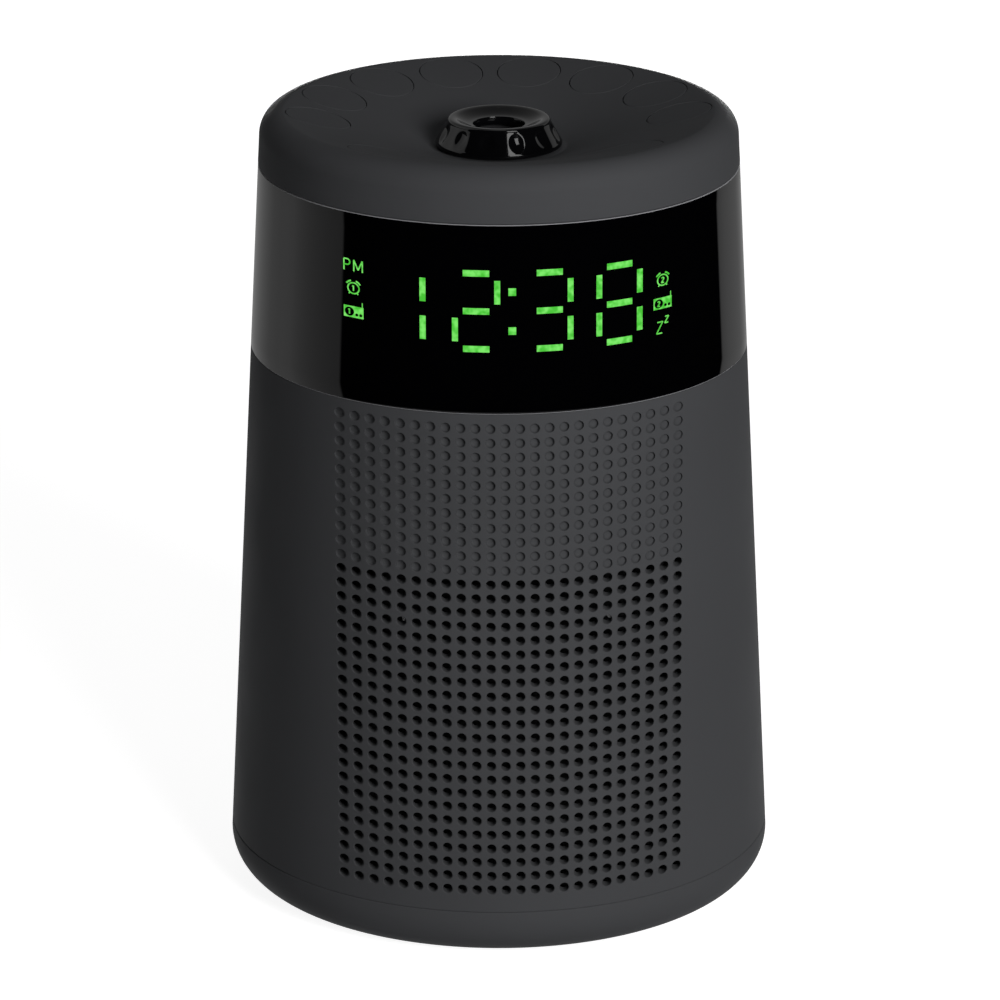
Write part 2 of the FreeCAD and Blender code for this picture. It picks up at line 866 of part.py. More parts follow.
def speaker_screws():
    screws = []
    for angle in (45, 135, 225, 315):
        place = polar(speaker_screw_circle_radius, angle)
        z = speaker_height + place.y
        length = flange_back - baffle_front
        shaft = Part.makeCylinder(speaker_screw_radius, length, vec(place.x, baffle_front, z), Y_AXIS)
        head = Part.makeCylinder(
            speaker_screw_head_radius, speaker_screw_head_height, vec(place.x, flange_back, z), Y_AXIS,
        )
        screws.append(shaft.fuse(head))
    return Part.makeCompound(screws)


def main_board():
    return box(
        -main_board_half_width, main_board_half_width,
        main_board_distance, main_board_distance + board_thickness, main_board_bottom, main_board_top,
    )


def main_board_chips():
    """Clock and radio chips on the board's inner face."""
    chips = []
    for x, z, width, height in ((-8.0, 62.0, 12.0, 12.0), (9.0, 62.0, 8.0, 10.0), (0.0, 44.0, 10.0, 6.0)):
        chips.append(box(
            x - width / 2, x + width / 2, main_board_distance - board_thickness, main_board_distance,
            z - height / 2, z + height / 2,
        ))
    return Part.makeCompound(chips)


def socket_face(x_reach):
    """How far back a socket reaches, a little inside the shell's outside at its outer corner."""
    return math.sqrt(outer_radius(socket_height + dc_jack_width / 2) ** 2 - x_reach ** 2) - socket_recess


def dc_jack():
    back = main_board_distance + board_thickness
    half = dc_jack_width / 2
    face = socket_face(abs(dc_jack_x) + half)
    body = box(dc_jack_x - half, dc_jack_x + half, back, face, socket_height - half, socket_height + half)
    bore = Part.makeCylinder(
        dc_jack_bore_radius, dc_jack_bore_depth, vec(dc_jack_x, face - dc_jack_bore_depth, socket_height), Y_AXIS,
    )
    pin = Part.makeCylinder(
        dc_jack_pin_radius, dc_jack_bore_depth, vec(dc_jack_x, face - dc_jack_bore_depth - 1, socket_height), Y_AXIS,
    )
    return body.cut(bore).fuse(pin)


def usb_port():
    back = main_board_distance + board_thickness
    half = usb_width / 2
    tall = usb_tall / 2
    face = socket_face(abs(usb_x) + half)
    body = box(usb_x - half, usb_x + half, back, face, socket_height - tall, socket_height + tall)
    room = box(
        usb_x - half + usb_skin, usb_x + half - usb_skin, face - usb_depth, face,
        socket_height - tall + usb_skin, socket_height + tall - usb_skin,
    )
    tongue = box(
        usb_x - half + 2 * usb_skin, usb_x + half - 2 * usb_skin, face - usb_depth - usb_skin, face - 1,
        socket_height + tall - 2 * usb_skin - usb_tongue, socket_height + tall - 2 * usb_skin,
    )
    return body.cut(room).fuse(tongue)


def antenna_gland():
    """Grommet for the wire aerial, seated in the shell's rear wall."""
    outside = outer_radius(antenna_height) + clearance
    inside = outside - wall - 2 * clearance - antenna_flange
    stem = Part.makeCylinder(
        antenna_radius, outside - inside, vec(antenna_x, inside, antenna_height), Y_AXIS,
    )
    head = Part.makeCylinder(
        antenna_flange_radius, antenna_flange, vec(antenna_x, inside - antenna_flange, antenna_height), Y_AXIS,
    )
    bore = Part.makeCylinder(
        antenna_bore_radius, 2 * (outside - inside), vec(antenna_x, inside - antenna_flange, antenna_height), Y_AXIS,
    )
    return stem.fuse(head).cut(bore)


NODES = {
    "body_shell": body_shell,
    "base_cover": base_cover,
    "rubber_feet": rubber_feet,
    "base_screws": base_screws,
    "battery_door": battery_door,
    "battery_holder": battery_holder,
    "battery_contact": battery_contacts,
    "coin_cell": coin_cell,
    "display_lens_band": display_lens_band,
    "display_light_guide": light_guide,
    "display_board": display_board,
    "display_leds": display_leds,
    "top_cap": top_cap,
    "snooze_bar": snooze_bar,
    "key_board": key_board,
    "tact_switches": tact_switches,
    "cap_screws": cap_screws,
    "focus_knob": focus_knob,
    "projector_barrel": projector_barrel,
    "lens_carrier": lens_carrier,
    "projection_lens": projection_lens,
    "condenser_lens": condenser_lens,
    "projector_lcd": projector_lcd,
    "projector_lamp": projector_lamp,
    "inner_chassis": inner_chassis,
    "speaker_gasket": speaker_gasket,
    "speaker_frame": speaker_frame,
    "speaker_magnet": speaker_magnet,
    "speaker_cone": speaker_cone,
    "speaker_dust_cap": speaker_dust_cap,
    "speaker_screws": speaker_screws,
    "main_board": main_board,
    "main_board_chips": main_board_chips,
    "dc_jack": dc_jack,
    "usb_port": usb_port,
    "antenna_gland": antenna_gland,
}


def main():
    os.makedirs("parts", exist_ok=True)
    shapes = {name: make() for name, make in NODES.items()}
    for index, angle in enumerate(key_angles()):
        shapes["key_%d" % (index + 1)] = key(angle)
    for name, shape in shapes.items():
        print(name, "solids", len(shape.Solids), "valid", shape.isValid(), "volume", round(shape.Volume, 1))
        shape.exportStep("parts/%s.step" % name)


main()
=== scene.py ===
import json
import math

import bmesh
import bpy
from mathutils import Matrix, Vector


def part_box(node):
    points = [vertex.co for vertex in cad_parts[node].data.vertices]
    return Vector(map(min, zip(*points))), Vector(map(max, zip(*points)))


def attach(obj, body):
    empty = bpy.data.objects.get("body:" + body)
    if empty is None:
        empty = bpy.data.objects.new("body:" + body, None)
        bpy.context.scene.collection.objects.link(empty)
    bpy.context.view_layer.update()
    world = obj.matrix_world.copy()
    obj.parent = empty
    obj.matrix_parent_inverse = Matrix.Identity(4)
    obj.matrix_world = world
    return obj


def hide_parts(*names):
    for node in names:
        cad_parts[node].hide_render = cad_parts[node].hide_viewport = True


# Projection alarm clock: the finish of every surface, round a fixed frame of solids. Metres, with the
# display facing -Y. Lengths written in millimetres are multiplied by MM.

MM = 0.001
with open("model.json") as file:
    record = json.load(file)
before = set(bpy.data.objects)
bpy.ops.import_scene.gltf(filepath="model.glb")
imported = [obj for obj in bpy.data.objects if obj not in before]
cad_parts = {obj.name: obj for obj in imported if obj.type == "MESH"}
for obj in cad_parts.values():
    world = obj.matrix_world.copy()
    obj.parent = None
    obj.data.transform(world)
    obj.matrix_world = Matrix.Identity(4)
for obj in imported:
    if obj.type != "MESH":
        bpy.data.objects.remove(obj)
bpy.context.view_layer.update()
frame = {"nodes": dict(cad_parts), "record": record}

# Places read from the frame
shell_low, shell_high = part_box("body_shell")
band_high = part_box("display_lens_band")[1]
cap_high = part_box("top_cap")[1]
base_low, base_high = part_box("base_cover")
knob_low, knob_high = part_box("focus_knob")
SEAM_Z = shell_low.z
BAND_Z = shell_high.z
CAP_Z = band_high.z
RIM_Z = cap_high.z
BASE_Z = base_low.z
SEAM_R = shell_high.x
BAND_R = band_high.x
TAPER = (SEAM_R - BAND_R) / (BAND_Z - SEAM_Z)

# Speaker front. The rings are rows of radius and depth in millimetres.
WALL = 2.2 * MM
SEAM_EDGE = 0.3 * MM
COLUMNS = 24
ROWS = 34
THROUGH_ROWS = 23
PITCH_X = 2.7 * MM
PITCH_Z = 2.675 * MM
FIRST_ROW = SEAM_Z + 4.4 * MM
QUARTERS = 4
BACK_STEPS = 120
THROUGH_RINGS = ((1.06, 0.0), (0.95, 0.04), (0.87, 0.16), (0.84, 0.4))
BLIND_RINGS = ((1.02, 0.0), (0.93, 0.04), (0.88, 0.17), (0.83, 0.42), (0.72, 0.64), (0.42, 0.76))
BLIND_DEPTH = 0.8 * MM
HOLE_RADIUS = 0.84 * MM
RING_STEPS = 4 * QUARTERS

# Windows in the rear wall, and how far back their cutters start and end
SOCKET_GAP = 0.25 * MM
GLAND_HOLE_R = 3.15 * MM
REAR_CUT = (40 * MM, 60 * MM)

# Base cover
BASE_EDGE = 8.0 * MM
FLOOR_WALL = 2.5 * MM
SPIGOT_GAP = 0.15 * MM
SPIGOT_WALL = 1.5 * MM
SPIGOT_SHORT = 0.3 * MM
BOWL_DROP = 3.0 * MM
BOWL_SLOPE = 7.5 * MM
FEET_RING_R = 35 * MM
FOOT_HOLE_R = 6.2 * MM
FOOT_HOLE_DEPTH = 1.0 * MM
SCREW_RING_R = 38 * MM
SCREW_HOLE_R = 2.8 * MM
SCREW_ANGLES = (90, 200, 340)
DOOR_HOLE_R = 13.7 * MM

# Display band
BAND_EDGE = 0.16 * MM
BAND_WALL = 2.0 * MM
BAND_LEVELS = 12
BAND_FOOT_OUTER = 2.4 * MM
BAND_FOOT_INNER = 3.85 * MM
BAND_FOOT_DROP = 3.0 * MM

# Top cap and its buttons. The button's edge is rows of inset and drop in millimetres.
DISH_R = 40.2 * MM
KEY_RING_R = 33.7 * MM
KEY_RING_DROP = 1.4 * MM
WELL_R = 12.4 * MM
WELL_DROP = 7.1 * MM
WELL_Z = RIM_Z - WELL_DROP
SHOULDER = 4.5 * MM
CAP_WALL = 2.0 * MM
CAP_EDGE = 0.35 * MM
CAP_CHEEK = 2.5 * MM
CAP_HOLE_R = 9.5 * MM
CAP_FOOT_INNER = 3.65 * MM
CAP_FOOT_WALL = 1.5 * MM
CAP_FOOT_DROP = 3.0 * MM
KEY_R = 6.0 * MM
KEY_GAP = 0.15 * MM
SNOOZE_OUTER = 38.3 * MM
SNOOZE_INNER = 25.5 * MM
SNOOZE_HALF = math.radians(56)
SNOOZE_END_STEPS = 16
BUTTON_SHARES = (0.0, 0.35, 0.7)
BUTTON_EDGE = ((0.16, 0.0), (0.07, 0.02), (0.02, 0.06), (0.0, 0.15), (0.0, 3.0))
TURNS = 288


def radius_at(z):
    return SEAM_R - TAPER * (z - SEAM_Z)


def circle_through(a, b, c):
    """Centre and radius of the circle through three profile points."""
    d = 2 * (a[0] * (b[1] - c[1]) + b[0] * (c[1] - a[1]) + c[0] * (a[1] - b[1]))
    sa, sb, sc = (p[0] ** 2 + p[1] ** 2 for p in (a, b, c))
    x = (sa * (b[1] - c[1]) + sb * (c[1] - a[1]) + sc * (a[1] - b[1])) / d
    y = (sa * (c[0] - b[0]) + sb * (a[0] - c[0]) + sc * (b[0] - a[0])) / d
    return x, y, math.hypot(a[0] - x, a[1] - y)


DISH = circle_through((WELL_R, WELL_Z), (KEY_RING_R, RIM_Z - KEY_RING_DROP), (DISH_R, RIM_Z))


def dish_z(r):
    """Height of the dished top at a radius."""
    if r <= WELL_R:
        return WELL_Z
    side = 1 if DISH[1] < RIM_Z else -1
    return DISH[1] + side * math.sqrt(max(DISH[2] ** 2 - (r - DISH[0]) ** 2, 0))


def dish_normal(x, y):
    r = math.hypot(x, y)
    if r < WELL_R * 1.001:
        return Vector((0, 0, 1))
    step = 0.01 * MM
    slope = (dish_z(r + step) - dish_z(r - step)) / (2 * step)
    return Vector((-slope * x / r, -slope * y / r, 1)).normalized()


def side_normal(co):
    r = math.hypot(co.x, co.y)
    return Vector((co.x / r, co.y / r, TAPER)).normalized()


# Materials
def principled(name, color, roughness, metallic=0.0, specular=0.5):
    mat = bpy.data.materials.new(name)
    mat.use_nodes = True
    shader = mat.node_tree.nodes["Principled BSDF"]
    shader.inputs["Base Color"].default_value = (*color, 1)
    shader.inputs["Roughness"].default_value = roughness
    shader.inputs["Metallic"].default_value = metallic
    shader.inputs["Specular IOR Level"].default_value = specular
    return mat, shader


def object_noise(mat, scale, detail):
    nodes, links = mat.node_tree.nodes, mat.node_tree.links
    where = nodes.new("ShaderNodeTexCoord")
    noise = nodes.new("ShaderNodeTexNoise")
    noise.inputs["Scale"].default_value = scale
    noise.inputs["Detail"].default_value = detail
    links.new(where.outputs["Object"], noise.inputs["Vector"])
    return noise


def two_tones(mat, noise, low, high, dark, light):
    """A colour that goes from dark to light between two values of a noise."""
    ramp = mat.node_tree.nodes.new("ShaderNodeValToRGB")
    stops = ramp.color_ramp.elements
    stops[0].position = low
    stops[1].position = high
    stops[0].color = (*dark, 1)
    stops[1].color = (*light, 1)
    mat.node_tree.links.new(noise.outputs["Fac"], ramp.inputs["Fac"])
    return ramp.outputs["Color"]


def vary_color(mat, shader, dark, light, scale):
    """Slow, faint change of colour over the surface."""
    tones = two_tones(mat, object_noise(mat, scale, 3), 0.3, 0.7, dark, light)
    mat.node_tree.links.new(tones, shader.inputs["Base Color"])


def vary_roughness(mat, shader, low, high, scale):
    nodes, links = mat.node_tree.nodes, mat.node_tree.links
    noise = object_noise(mat, scale, 4)
    spread = nodes.new("ShaderNodeMapRange")
    spread.inputs["From Min"].default_value = 0.3
    spread.inputs["From Max"].default_value = 0.7
    spread.inputs["To Min"].default_value = low
    spread.inputs["To Max"].default_value = high
    links.new(noise.outputs["Fac"], spread.inputs["Value"])
    links.new(spread.outputs["Result"], shader.inputs["Roughness"])


def add_grain(mat, shader, scale, height, strength):
    """Fine moulded grain as a bump."""
    nodes, links = mat.node_tree.nodes, mat.node_tree.links
    noise = object_noise(mat, scale, 2)
    bump = nodes.new("ShaderNodeBump")
    bump.inputs["Strength"].default_value = strength
    bump.inputs["Distance"].default_value = height
    links.new(noise.outputs["Fac"], bump.inputs["Height"])
    links.new(bump.outputs["Normal"], shader.inputs["Normal"])


def matte_plastic(name, color, roughness=0.65, grain=True):
    mat, shader = principled(name, color, roughness, specular=0.03)
    vary_color(mat, shader, tuple(c * 0.96 for c in color), tuple(c * 1.04 for c in color), 30)
    vary_roughness(mat, shader, roughness - 0.04, roughness + 0.04, 60)
    if grain:
        add_grain(mat, shader, 5200, 0.03 * MM, 0.4)
    return mat


def gloss_plastic(name, color, roughness, specular=0.5):
    mat, shader = principled(name, color, roughness, specular=specular)
    vary_color(mat, shader, color, tuple(c * 1.15 for c in color), 25)
    vary_roughness(mat, shader, roughness, roughness * 1.6, 45)
    return mat


def metal(name, color, roughness):
    mat, shader = principled(name, color, roughness, metallic=1.0)
    vary_color(mat, shader, tuple(c * 0.9 for c in color), color, 200)
    vary_roughness(mat, shader, roughness - 0.05, roughness + 0.08, 400)
    return mat


def glow(name, dark, light, scale):
    """A lit surface that is a little uneven, as diodes behind a diffuser are."""
    mat, shader = principled(name, tuple(c * 0.1 for c in dark), 0.4, specular=0.1)
    tones = two_tones(mat, object_noise(mat, scale, 1), 0.35, 0.65, dark, light)
    mat.node_tree.links.new(tones, shader.inputs["Emission Color"])
    shader.inputs["Emission Strength"].default_value = 1.0
    return mat


def clear_optic(name):
    mat, shader = principled(name, (0.95, 0.97, 0.98), 0.02)
    shader.inputs["Transmission Weight"].default_value = 1.0
    shader.inputs["IOR"].default_value = 1.5
    vary_roughness(mat, shader, 0.01, 0.03, 80)
    return mat


BODY = matte_plastic("body_plastic", (0.050, 0.051, 0.054))
KEYS = matte_plastic("key_plastic", (0.0495, 0.0505, 0.0535))
SMOKED = gloss_plastic("smoked_gloss", (0.0004, 0.0004, 0.0006), 0.025, 0.13)
# Pale grey for the display band's rounded top and bottom edges: a painted highlight, standing in for the
# bright line that light draws along them
PAINTED_EDGE_HIGHLIGHT = matte_plastic("painted_edge_highlight", (0.22, 0.22, 0.23), 0.4, grain=False)
KNOB = gloss_plastic("knob_gloss", (0.0015, 0.0015, 0.0018), 0.05, 0.2)
RUBBER = matte_plastic("foot_rubber", (0.025, 0.025, 0.026), 0.75)
INNER = matte_plastic("inner_plastic", (0.02, 0.02, 0.021), 0.6, grain=False)
COMPONENT = matte_plastic("component_black", (0.02, 0.02, 0.02), 0.4, grain=False)
BOARD = matte_plastic("circuit_board", (0.02, 0.11, 0.045), 0.4, grain=False)
PAPER = matte_plastic("speaker_paper", (0.02, 0.02, 0.02), 0.85)
SPEAKER = matte_plastic("speaker_steel", (0.03, 0.03, 0.03), 0.35, grain=False)
STEEL = metal("screw_steel", (0.55, 0.55, 0.56), 0.32)
NICKEL = metal("spring_metal", (0.66, 0.65, 0.62), 0.25)
OPTIC = clear_optic("clear_optic")
DIGITS = glow("led_green", (0.06, 0.50, 0.035), (0.20, 0.78, 0.14), 900)

SLOTS = {
    "body_plastic": BODY, "key_plastic": KEYS, "smoked_gloss": SMOKED, "knob_gloss": KNOB,
    "foot_rubber": RUBBER, "inner_plastic": INNER, "component_black": COMPONENT, "circuit_board": BOARD,
    "speaker_paper": PAPER, "speaker_steel": SPEAKER, "screw_steel": STEEL, "spring_metal": NICKEL,
    "clear_optic": OPTIC, "led_green": DIGITS,
}


def dress_nodes():
    """Gives every node of the frame the material of its slot."""
    for row in frame["record"]["subparts"]:
        obj = frame["nodes"][row["node"]]
        obj.data.materials.clear()
        obj.data.materials.append(SLOTS[row["material_slot"]])


# Mesh helpers
def piece(name, verts, faces, material, body, replaces=()):
    """A mesh object that rides on a body and, where it stands for nodes, hides them."""
    mesh = bpy.data.meshes.new(name)
    mesh.from_pydata([tuple(v) for v in verts], [], faces)
    mesh.validate()
    obj = bpy.data.objects.new(name, mesh)
    bpy.context.scene.collection.objects.link(obj)
    return finish_piece(obj, material, body, replaces)


def finish_piece(obj, material, body, replaces=()):
    obj.data.materials.clear()
    obj.data.materials.append(material)
    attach(obj, body)
    if replaces:
        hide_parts(*replaces)
    return obj


def smooth(obj, sharp_degrees=40, normal_of=None):
    """Smooth shading with sharp creases. normal_of gives the true normal where a point lies on the form's
    own surface, so that cuts in it leave no marks."""
    mesh = obj.data
    mesh.shade_smooth()
    mesh.set_sharp_from_angle(angle=math.radians(sharp_degrees))
    if normal_of is None:
        return
    normals = []
    for face in mesh.polygons:
        for loop in face.loop_indices:
            co = mesh.vertices[mesh.loops[loop].vertex_index].co
            true = normal_of(co)
            if true is not None and true.dot(face.normal) > 0.93:
                normals.append(true)
            else:
                normals.append(Vector((0, 0, 0)))
    mesh.normals_split_custom_set(normals)


def turned(profile, steps=TURNS):
    """Vertices and faces of a closed profile of (radius, height) points turned about Z."""
    verts, faces, rings = [], [], []
    for r, z in profile:
        if r < 1e-7:
            rings.append([len(verts)] * steps)
            verts.append((0, 0, z))
            continue
        rings.append(list(range(len(verts), len(verts) + steps)))
        for k in range(steps):
            turn = 2 * math.pi * k / steps
            verts.append((r * math.cos(turn), r * math.sin(turn), z))
    count = len(profile)
    for a in range(count):
        low, high = rings[a], rings[(a + 1) % count]
        for k in range(steps):
            n = (k + 1) % steps
            face = [low[k], low[n], high[n], high[k]]
            face = [v for i, v in enumerate(face) if v not in face[:i]]
            if len(face) > 2:
                faces.append(face)
    return verts, faces


def arc(cx, cz, radius, start, end, steps):
    """Profile points along an arc, in degrees."""
    points = []
    for k in range(steps + 1):
        turn = math.radians(start + (end - start) * k / steps)
        points.append((cx + radius * math.cos(turn), cz + radius * math.sin(turn)))
    return points


def cut_with(obj, cutters):
    """Subtracts closed meshes from an object and removes them."""
    for cutter in cutters:
        mod = obj.modifiers.new("cut", "BOOLEAN")
        mod.operation = "DIFFERENCE"
        mod.solver = "EXACT"
        mod.object = cutter
        bpy.context.view_layer.objects.active = obj
        bpy.ops.object.modifier_apply(modifier=mod.name)
        bpy.data.objects.remove(cutter)


def cutter(verts, faces):
    mesh = bpy.data.meshes.new("cutter")
    mesh.from_pydata([tuple(v) for v in verts], [], faces)
    obj = bpy.data.objects.new("cutter", mesh)
    bpy.context.scene.collection.objects.link(obj)
    bm = bmesh.new()
    bm.from_mesh(mesh)
    bmesh.ops.recalc_face_normals(bm, faces=bm.faces)
    bm.to_mesh(mesh)
    bm.free()
    return obj


def prism_cutter(outline, z0, z1):
    count = len(outline)
    verts = [(x, y, z0) for x, y in outline] + [(x, y, z1) for x, y in outline]
    faces = [list(range(count))[::-1], list(range(count, 2 * count))]
    for k in range(count):
        n = (k + 1) % count
        faces.append([k, n, count + n, count + k])
    return cutter(verts, faces)


def circle(cx, cy, radius, steps=72):
    return [
        (cx + radius * math.cos(2 * math.pi * k / steps), cy + radius * math.sin(2 * math.pi * k / steps))
        for k in range(steps)
    ]


def fix_normals(obj):
    bm = bmesh.new()
    bm.from_mesh(obj.data)
    bmesh.ops.remove_doubles(bm, verts=bm.verts, dist=1e-7)
    bmesh.ops.recalc_face_normals(bm, faces=bm.faces)
    bm.to_mesh(obj.data)
    bm.free()


# Body shell with the perforated front
class ShellMesh:
    """Outer and inner wall of the shell. Columns in front are at steady X, so that the holes line up as
    straight-drawn ones do, and columns behind are at steady angles."""

    def __init__(self):
        self.verts, self.faces, self.seen = [], [], {}
        self.front = COLUMNS * QUARTERS
        self.columns = self.front + BACK_STEPS
        self.half = COLUMNS * PITCH_X / 2
        low = FIRST_ROW - PITCH_Z / 2
        grille = [low + k * PITCH_Z / QUARTERS for k in range(ROWS * QUARTERS + 1)]
        lower = (grille[0] - SEAM_Z) / 3
        self.levels = [SEAM_Z + SEAM_EDGE, SEAM_Z + lower * 2] + grille + [BAND_Z - SEAM_EDGE]
        self.levels = sorted(z for z in self.levels if SEAM_Z < z < BAND_Z)
        self.first = self.levels.index(grille[0])

    def xy(self, column, radius):
        column %= self.columns
        if column <= self.front:
            x = -self.half + column * PITCH_X / QUARTERS
            return x, -math.sqrt(radius ** 2 - x ** 2)
        edge = math.asin(self.half / radius)
        turn = edge + (column - self.front) * (2 * math.pi - 2 * edge) / BACK_STEPS
        return radius * math.sin(turn), -radius * math.cos(turn)

    def add(self, co):
        self.verts.append(co)
        return len(self.verts) - 1

    def at(self, column, z, inset):
        key = (column % self.columns, round(z * 1e7), round(inset * 1e7))
        if key not in self.seen:
            self.seen[key] = self.add((*self.xy(column, radius_at(z) - inset), z))
        return self.seen[key]

    def band(self, column, low, high, flip=False):
        """One quad between two (z, inset) levels."""
        after = column + 1
        face = [self.at(column, *low), self.at(after, *low), self.at(after, *high), self.at(column, *high)]
        self.faces.append(face[::-1] if flip else face)

    def hole_ring(self, cx, cz, radius, inset=0.0, depth=0.0):
        """A hole's ring, drawn straight along Y on the wall's outer or inner face, and sunk from it."""
        ring = []
        for k in range(RING_STEPS):
            turn = math.radians(-135 + k * 360 / RING_STEPS)
            x, z = cx + radius * math.cos(turn), cz + radius * math.sin(turn)
            ring.append(self.add((x, -math.sqrt((radius_at(z) - inset) ** 2 - x ** 2) + depth, z)))
        return ring

    def bridge(self, outer, inner):
        count = len(outer)
        for k in range(count):
            n = (k + 1) % count
            self.faces.append([outer[k], outer[n], inner[n], inner[k]])

    def border(self, i, j, inset):
        """The sixteen points round a cell."""
        c0, r0 = i * QUARTERS, self.first + j * QUARTERS
        places = [(c0 + k, r0) for k in range(QUARTERS)]
        places += [(c0 + QUARTERS, r0 + k) for k in range(QUARTERS)]
        places += [(c0 + QUARTERS - k, r0 + QUARTERS) for k in range(QUARTERS)]
        places += [(c0, r0 + QUARTERS - k) for k in range(QUARTERS)]
        return [self.at(c, self.levels[r], inset) for c, r in places]

    def cell(self, i, j):
        cx = -self.half + (i + 0.5) * PITCH_X
        cz = FIRST_ROW + j * PITCH_Z
        through = j < THROUGH_ROWS
        last = self.border(i, j, 0)
        for radius, depth in THROUGH_RINGS if through else BLIND_RINGS:
            ring = self.hole_ring(cx, cz, radius * MM, depth=depth * MM)
            self.bridge(last, ring)
            last = ring
        inside = self.border(i, j, WALL)
        if through:
            ring = self.hole_ring(cx, cz, HOLE_RADIUS, inset=WALL)
            self.bridge(last, ring)
            self.bridge(ring, inside)
            return
        centre = self.add((cx, -math.sqrt(radius_at(cz) ** 2 - cx ** 2) + BLIND_DEPTH, cz))
        for k in range(len(last)):
            self.faces.append([last[k], last[(k + 1) % len(last)], centre])
        self.faces.append(inside[::-1])

    def build(self):
        last_row = self.first + ROWS * QUARTERS
        for column in range(self.columns):
            for row in range(len(self.levels) - 1):
                if column < self.front and self.first <= row < last_row:
                    continue
                for inset in (0, WALL):
                    low, high = (self.levels[row], inset), (self.levels[row + 1], inset)
                    self.band(column, low, high, flip=bool(inset))
            for level, end, flip in ((self.levels[0], SEAM_Z, False), (self.levels[-1], BAND_Z, True)):
                soft = (level + (end - level) * 0.75, SEAM_EDGE * 0.25)
                path = [(level, 0), soft, (end, SEAM_EDGE), (end, WALL), (level, WALL)]
                for a, b in zip(path, path[1:]):
                    self.band(column, b, a, flip)
        for i in range(COLUMNS):
            for j in range(ROWS):
                self.cell(i, j)
        return self.verts, self.faces


def shell_normal(co):
    if SEAM_Z + SEAM_EDGE * 0.9 < co.z < BAND_Z - SEAM_EDGE * 0.9:
        if abs(math.hypot(co.x, co.y) - radius_at(co.z)) < 0.002 * MM:
            return side_normal(co)
    return None


def rear_openings():
    """Windows for the sockets and the aerial's grommet."""
    cutters = []
    near, far = REAR_CUT
    for node in ("usb_port", "dc_jack"):
        low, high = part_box(node)
        left, right = low.x - SOCKET_GAP, high.x + SOCKET_GAP
        outline = [(left, near), (right, near), (right, far), (left, far)]
        cutters.append(prism_cutter(outline, low.z - SOCKET_GAP, high.z + SOCKET_GAP))
    low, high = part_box("antenna_gland")
    ring = circle((low.x + high.x) / 2, (low.z + high.z) / 2, GLAND_HOLE_R, 48)
    verts = [(x, near, z) for x, z in ring] + [(x, far, z) for x, z in ring]
    count = len(ring)
    faces = [list(range(count)), list(range(count, 2 * count))[::-1]]
    faces += [[k, count + k, count + (k + 1) % count, (k + 1) % count] for k in range(count)]
    cutters.append(cutter(verts, faces))
    return cutters


def build_shell():
    verts, faces = ShellMesh().build()
    obj = piece("body_shell_skin", verts, faces, BODY, "housing", ["body_shell"])
    fix_normals(obj)
    cut_with(obj, rear_openings())
    smooth(obj, 50, shell_normal)


# Base cover
def build_base():
    edge_r = radius_at(BASE_Z + BASE_EDGE)
    inner = SEAM_R - WALL - SPIGOT_GAP
    spigot_z = base_high.z - SPIGOT_SHORT
    floor_z = BASE_Z + FLOOR_WALL
    profile = [(0, BASE_Z)]
    profile += arc(edge_r - BASE_EDGE, BASE_Z + BASE_EDGE, BASE_EDGE, -90, 0, 24)
    profile += arc(SEAM_R - SEAM_EDGE, SEAM_Z - SEAM_EDGE, SEAM_EDGE, 0, 90, 4)
    profile += [
        (inner, SEAM_Z), (inner, spigot_z), (inner - SPIGOT_WALL, spigot_z),
        (inner - SPIGOT_WALL, SEAM_Z - BOWL_DROP), (inner - BOWL_SLOPE, floor_z), (0, floor_z),
    ]
    verts, faces = turned(profile)
    obj = piece("base_cover_skin", verts, faces, BODY, "housing", ["base_cover"])
    fix_normals(obj)
    cutters = []
    for angle in (45, 135, 225, 315):
        turn = math.radians(angle)
        outline = circle(FEET_RING_R * math.cos(turn), FEET_RING_R * math.sin(turn), FOOT_HOLE_R, 64)
        cutters.append(prism_cutter(outline, BASE_Z - MM, BASE_Z + FOOT_HOLE_DEPTH))
    for angle in SCREW_ANGLES:
        turn = math.radians(angle)
        outline = circle(SCREW_RING_R * math.cos(turn), SCREW_RING_R * math.sin(turn), SCREW_HOLE_R, 40)
        cutters.append(prism_cutter(outline, BASE_Z - MM, floor_z + MM))
    cutters.append(prism_cutter(circle(0, 0, DOOR_HOLE_R, 120), BASE_Z - MM, floor_z + MM))
    cut_with(obj, cutters)

    def base_normal(co):
        r = math.hypot(co.x, co.y)
        if abs(co.z - BASE_Z) < 0.001 * MM and r < edge_r - BASE_EDGE:
            return Vector((0, 0, -1))
        return None

    smooth(obj, 35, base_normal)


# Display band
def build_band():
    edge = BAND_EDGE
    low_r, high_r = radius_at(BAND_Z), radius_at(CAP_Z)
    profile = arc(low_r - edge, BAND_Z + edge, edge, -90, 0, 5)
    levels = [BAND_Z + (CAP_Z - BAND_Z) * k / BAND_LEVELS for k in range(1, BAND_LEVELS)]
    profile += [(radius_at(z), z) for z in levels]
    profile += arc(high_r - edge, CAP_Z - edge, edge, 0, 90, 5)
    foot_z = BAND_Z - BAND_FOOT_DROP
    profile += [
        (high_r - BAND_WALL, CAP_Z), (low_r - BAND_WALL, BAND_Z + BAND_FOOT_DROP),
        (low_r - BAND_FOOT_INNER, BAND_Z), (low_r - BAND_FOOT_INNER, foot_z),
        (low_r - BAND_FOOT_OUTER, foot_z), (low_r - BAND_FOOT_OUTER, BAND_Z),
    ]
    verts, faces = turned(profile, 360)
    obj = piece("display_band_skin", verts, faces, SMOKED, "housing", ["display_lens_band"])
    fix_normals(obj)
    # The outer edge rounds of the band get the pale grey, a painted highlight along its top and bottom edges
    obj.data.materials.append(PAINTED_EDGE_HIGHLIGHT)
    for face in obj.data.polygons:
        outside = math.hypot(face.center.x, face.center.y) > high_r - edge
        if outside and not BAND_Z + edge < face.center.z < CAP_Z - edge:
            face.material_index = 1

    def band_normal(co):
        if abs(math.hypot(co.x, co.y) - radius_at(co.z)) < 1e-6:
            return side_normal(co)
        return None

    smooth(obj, 35, band_normal)


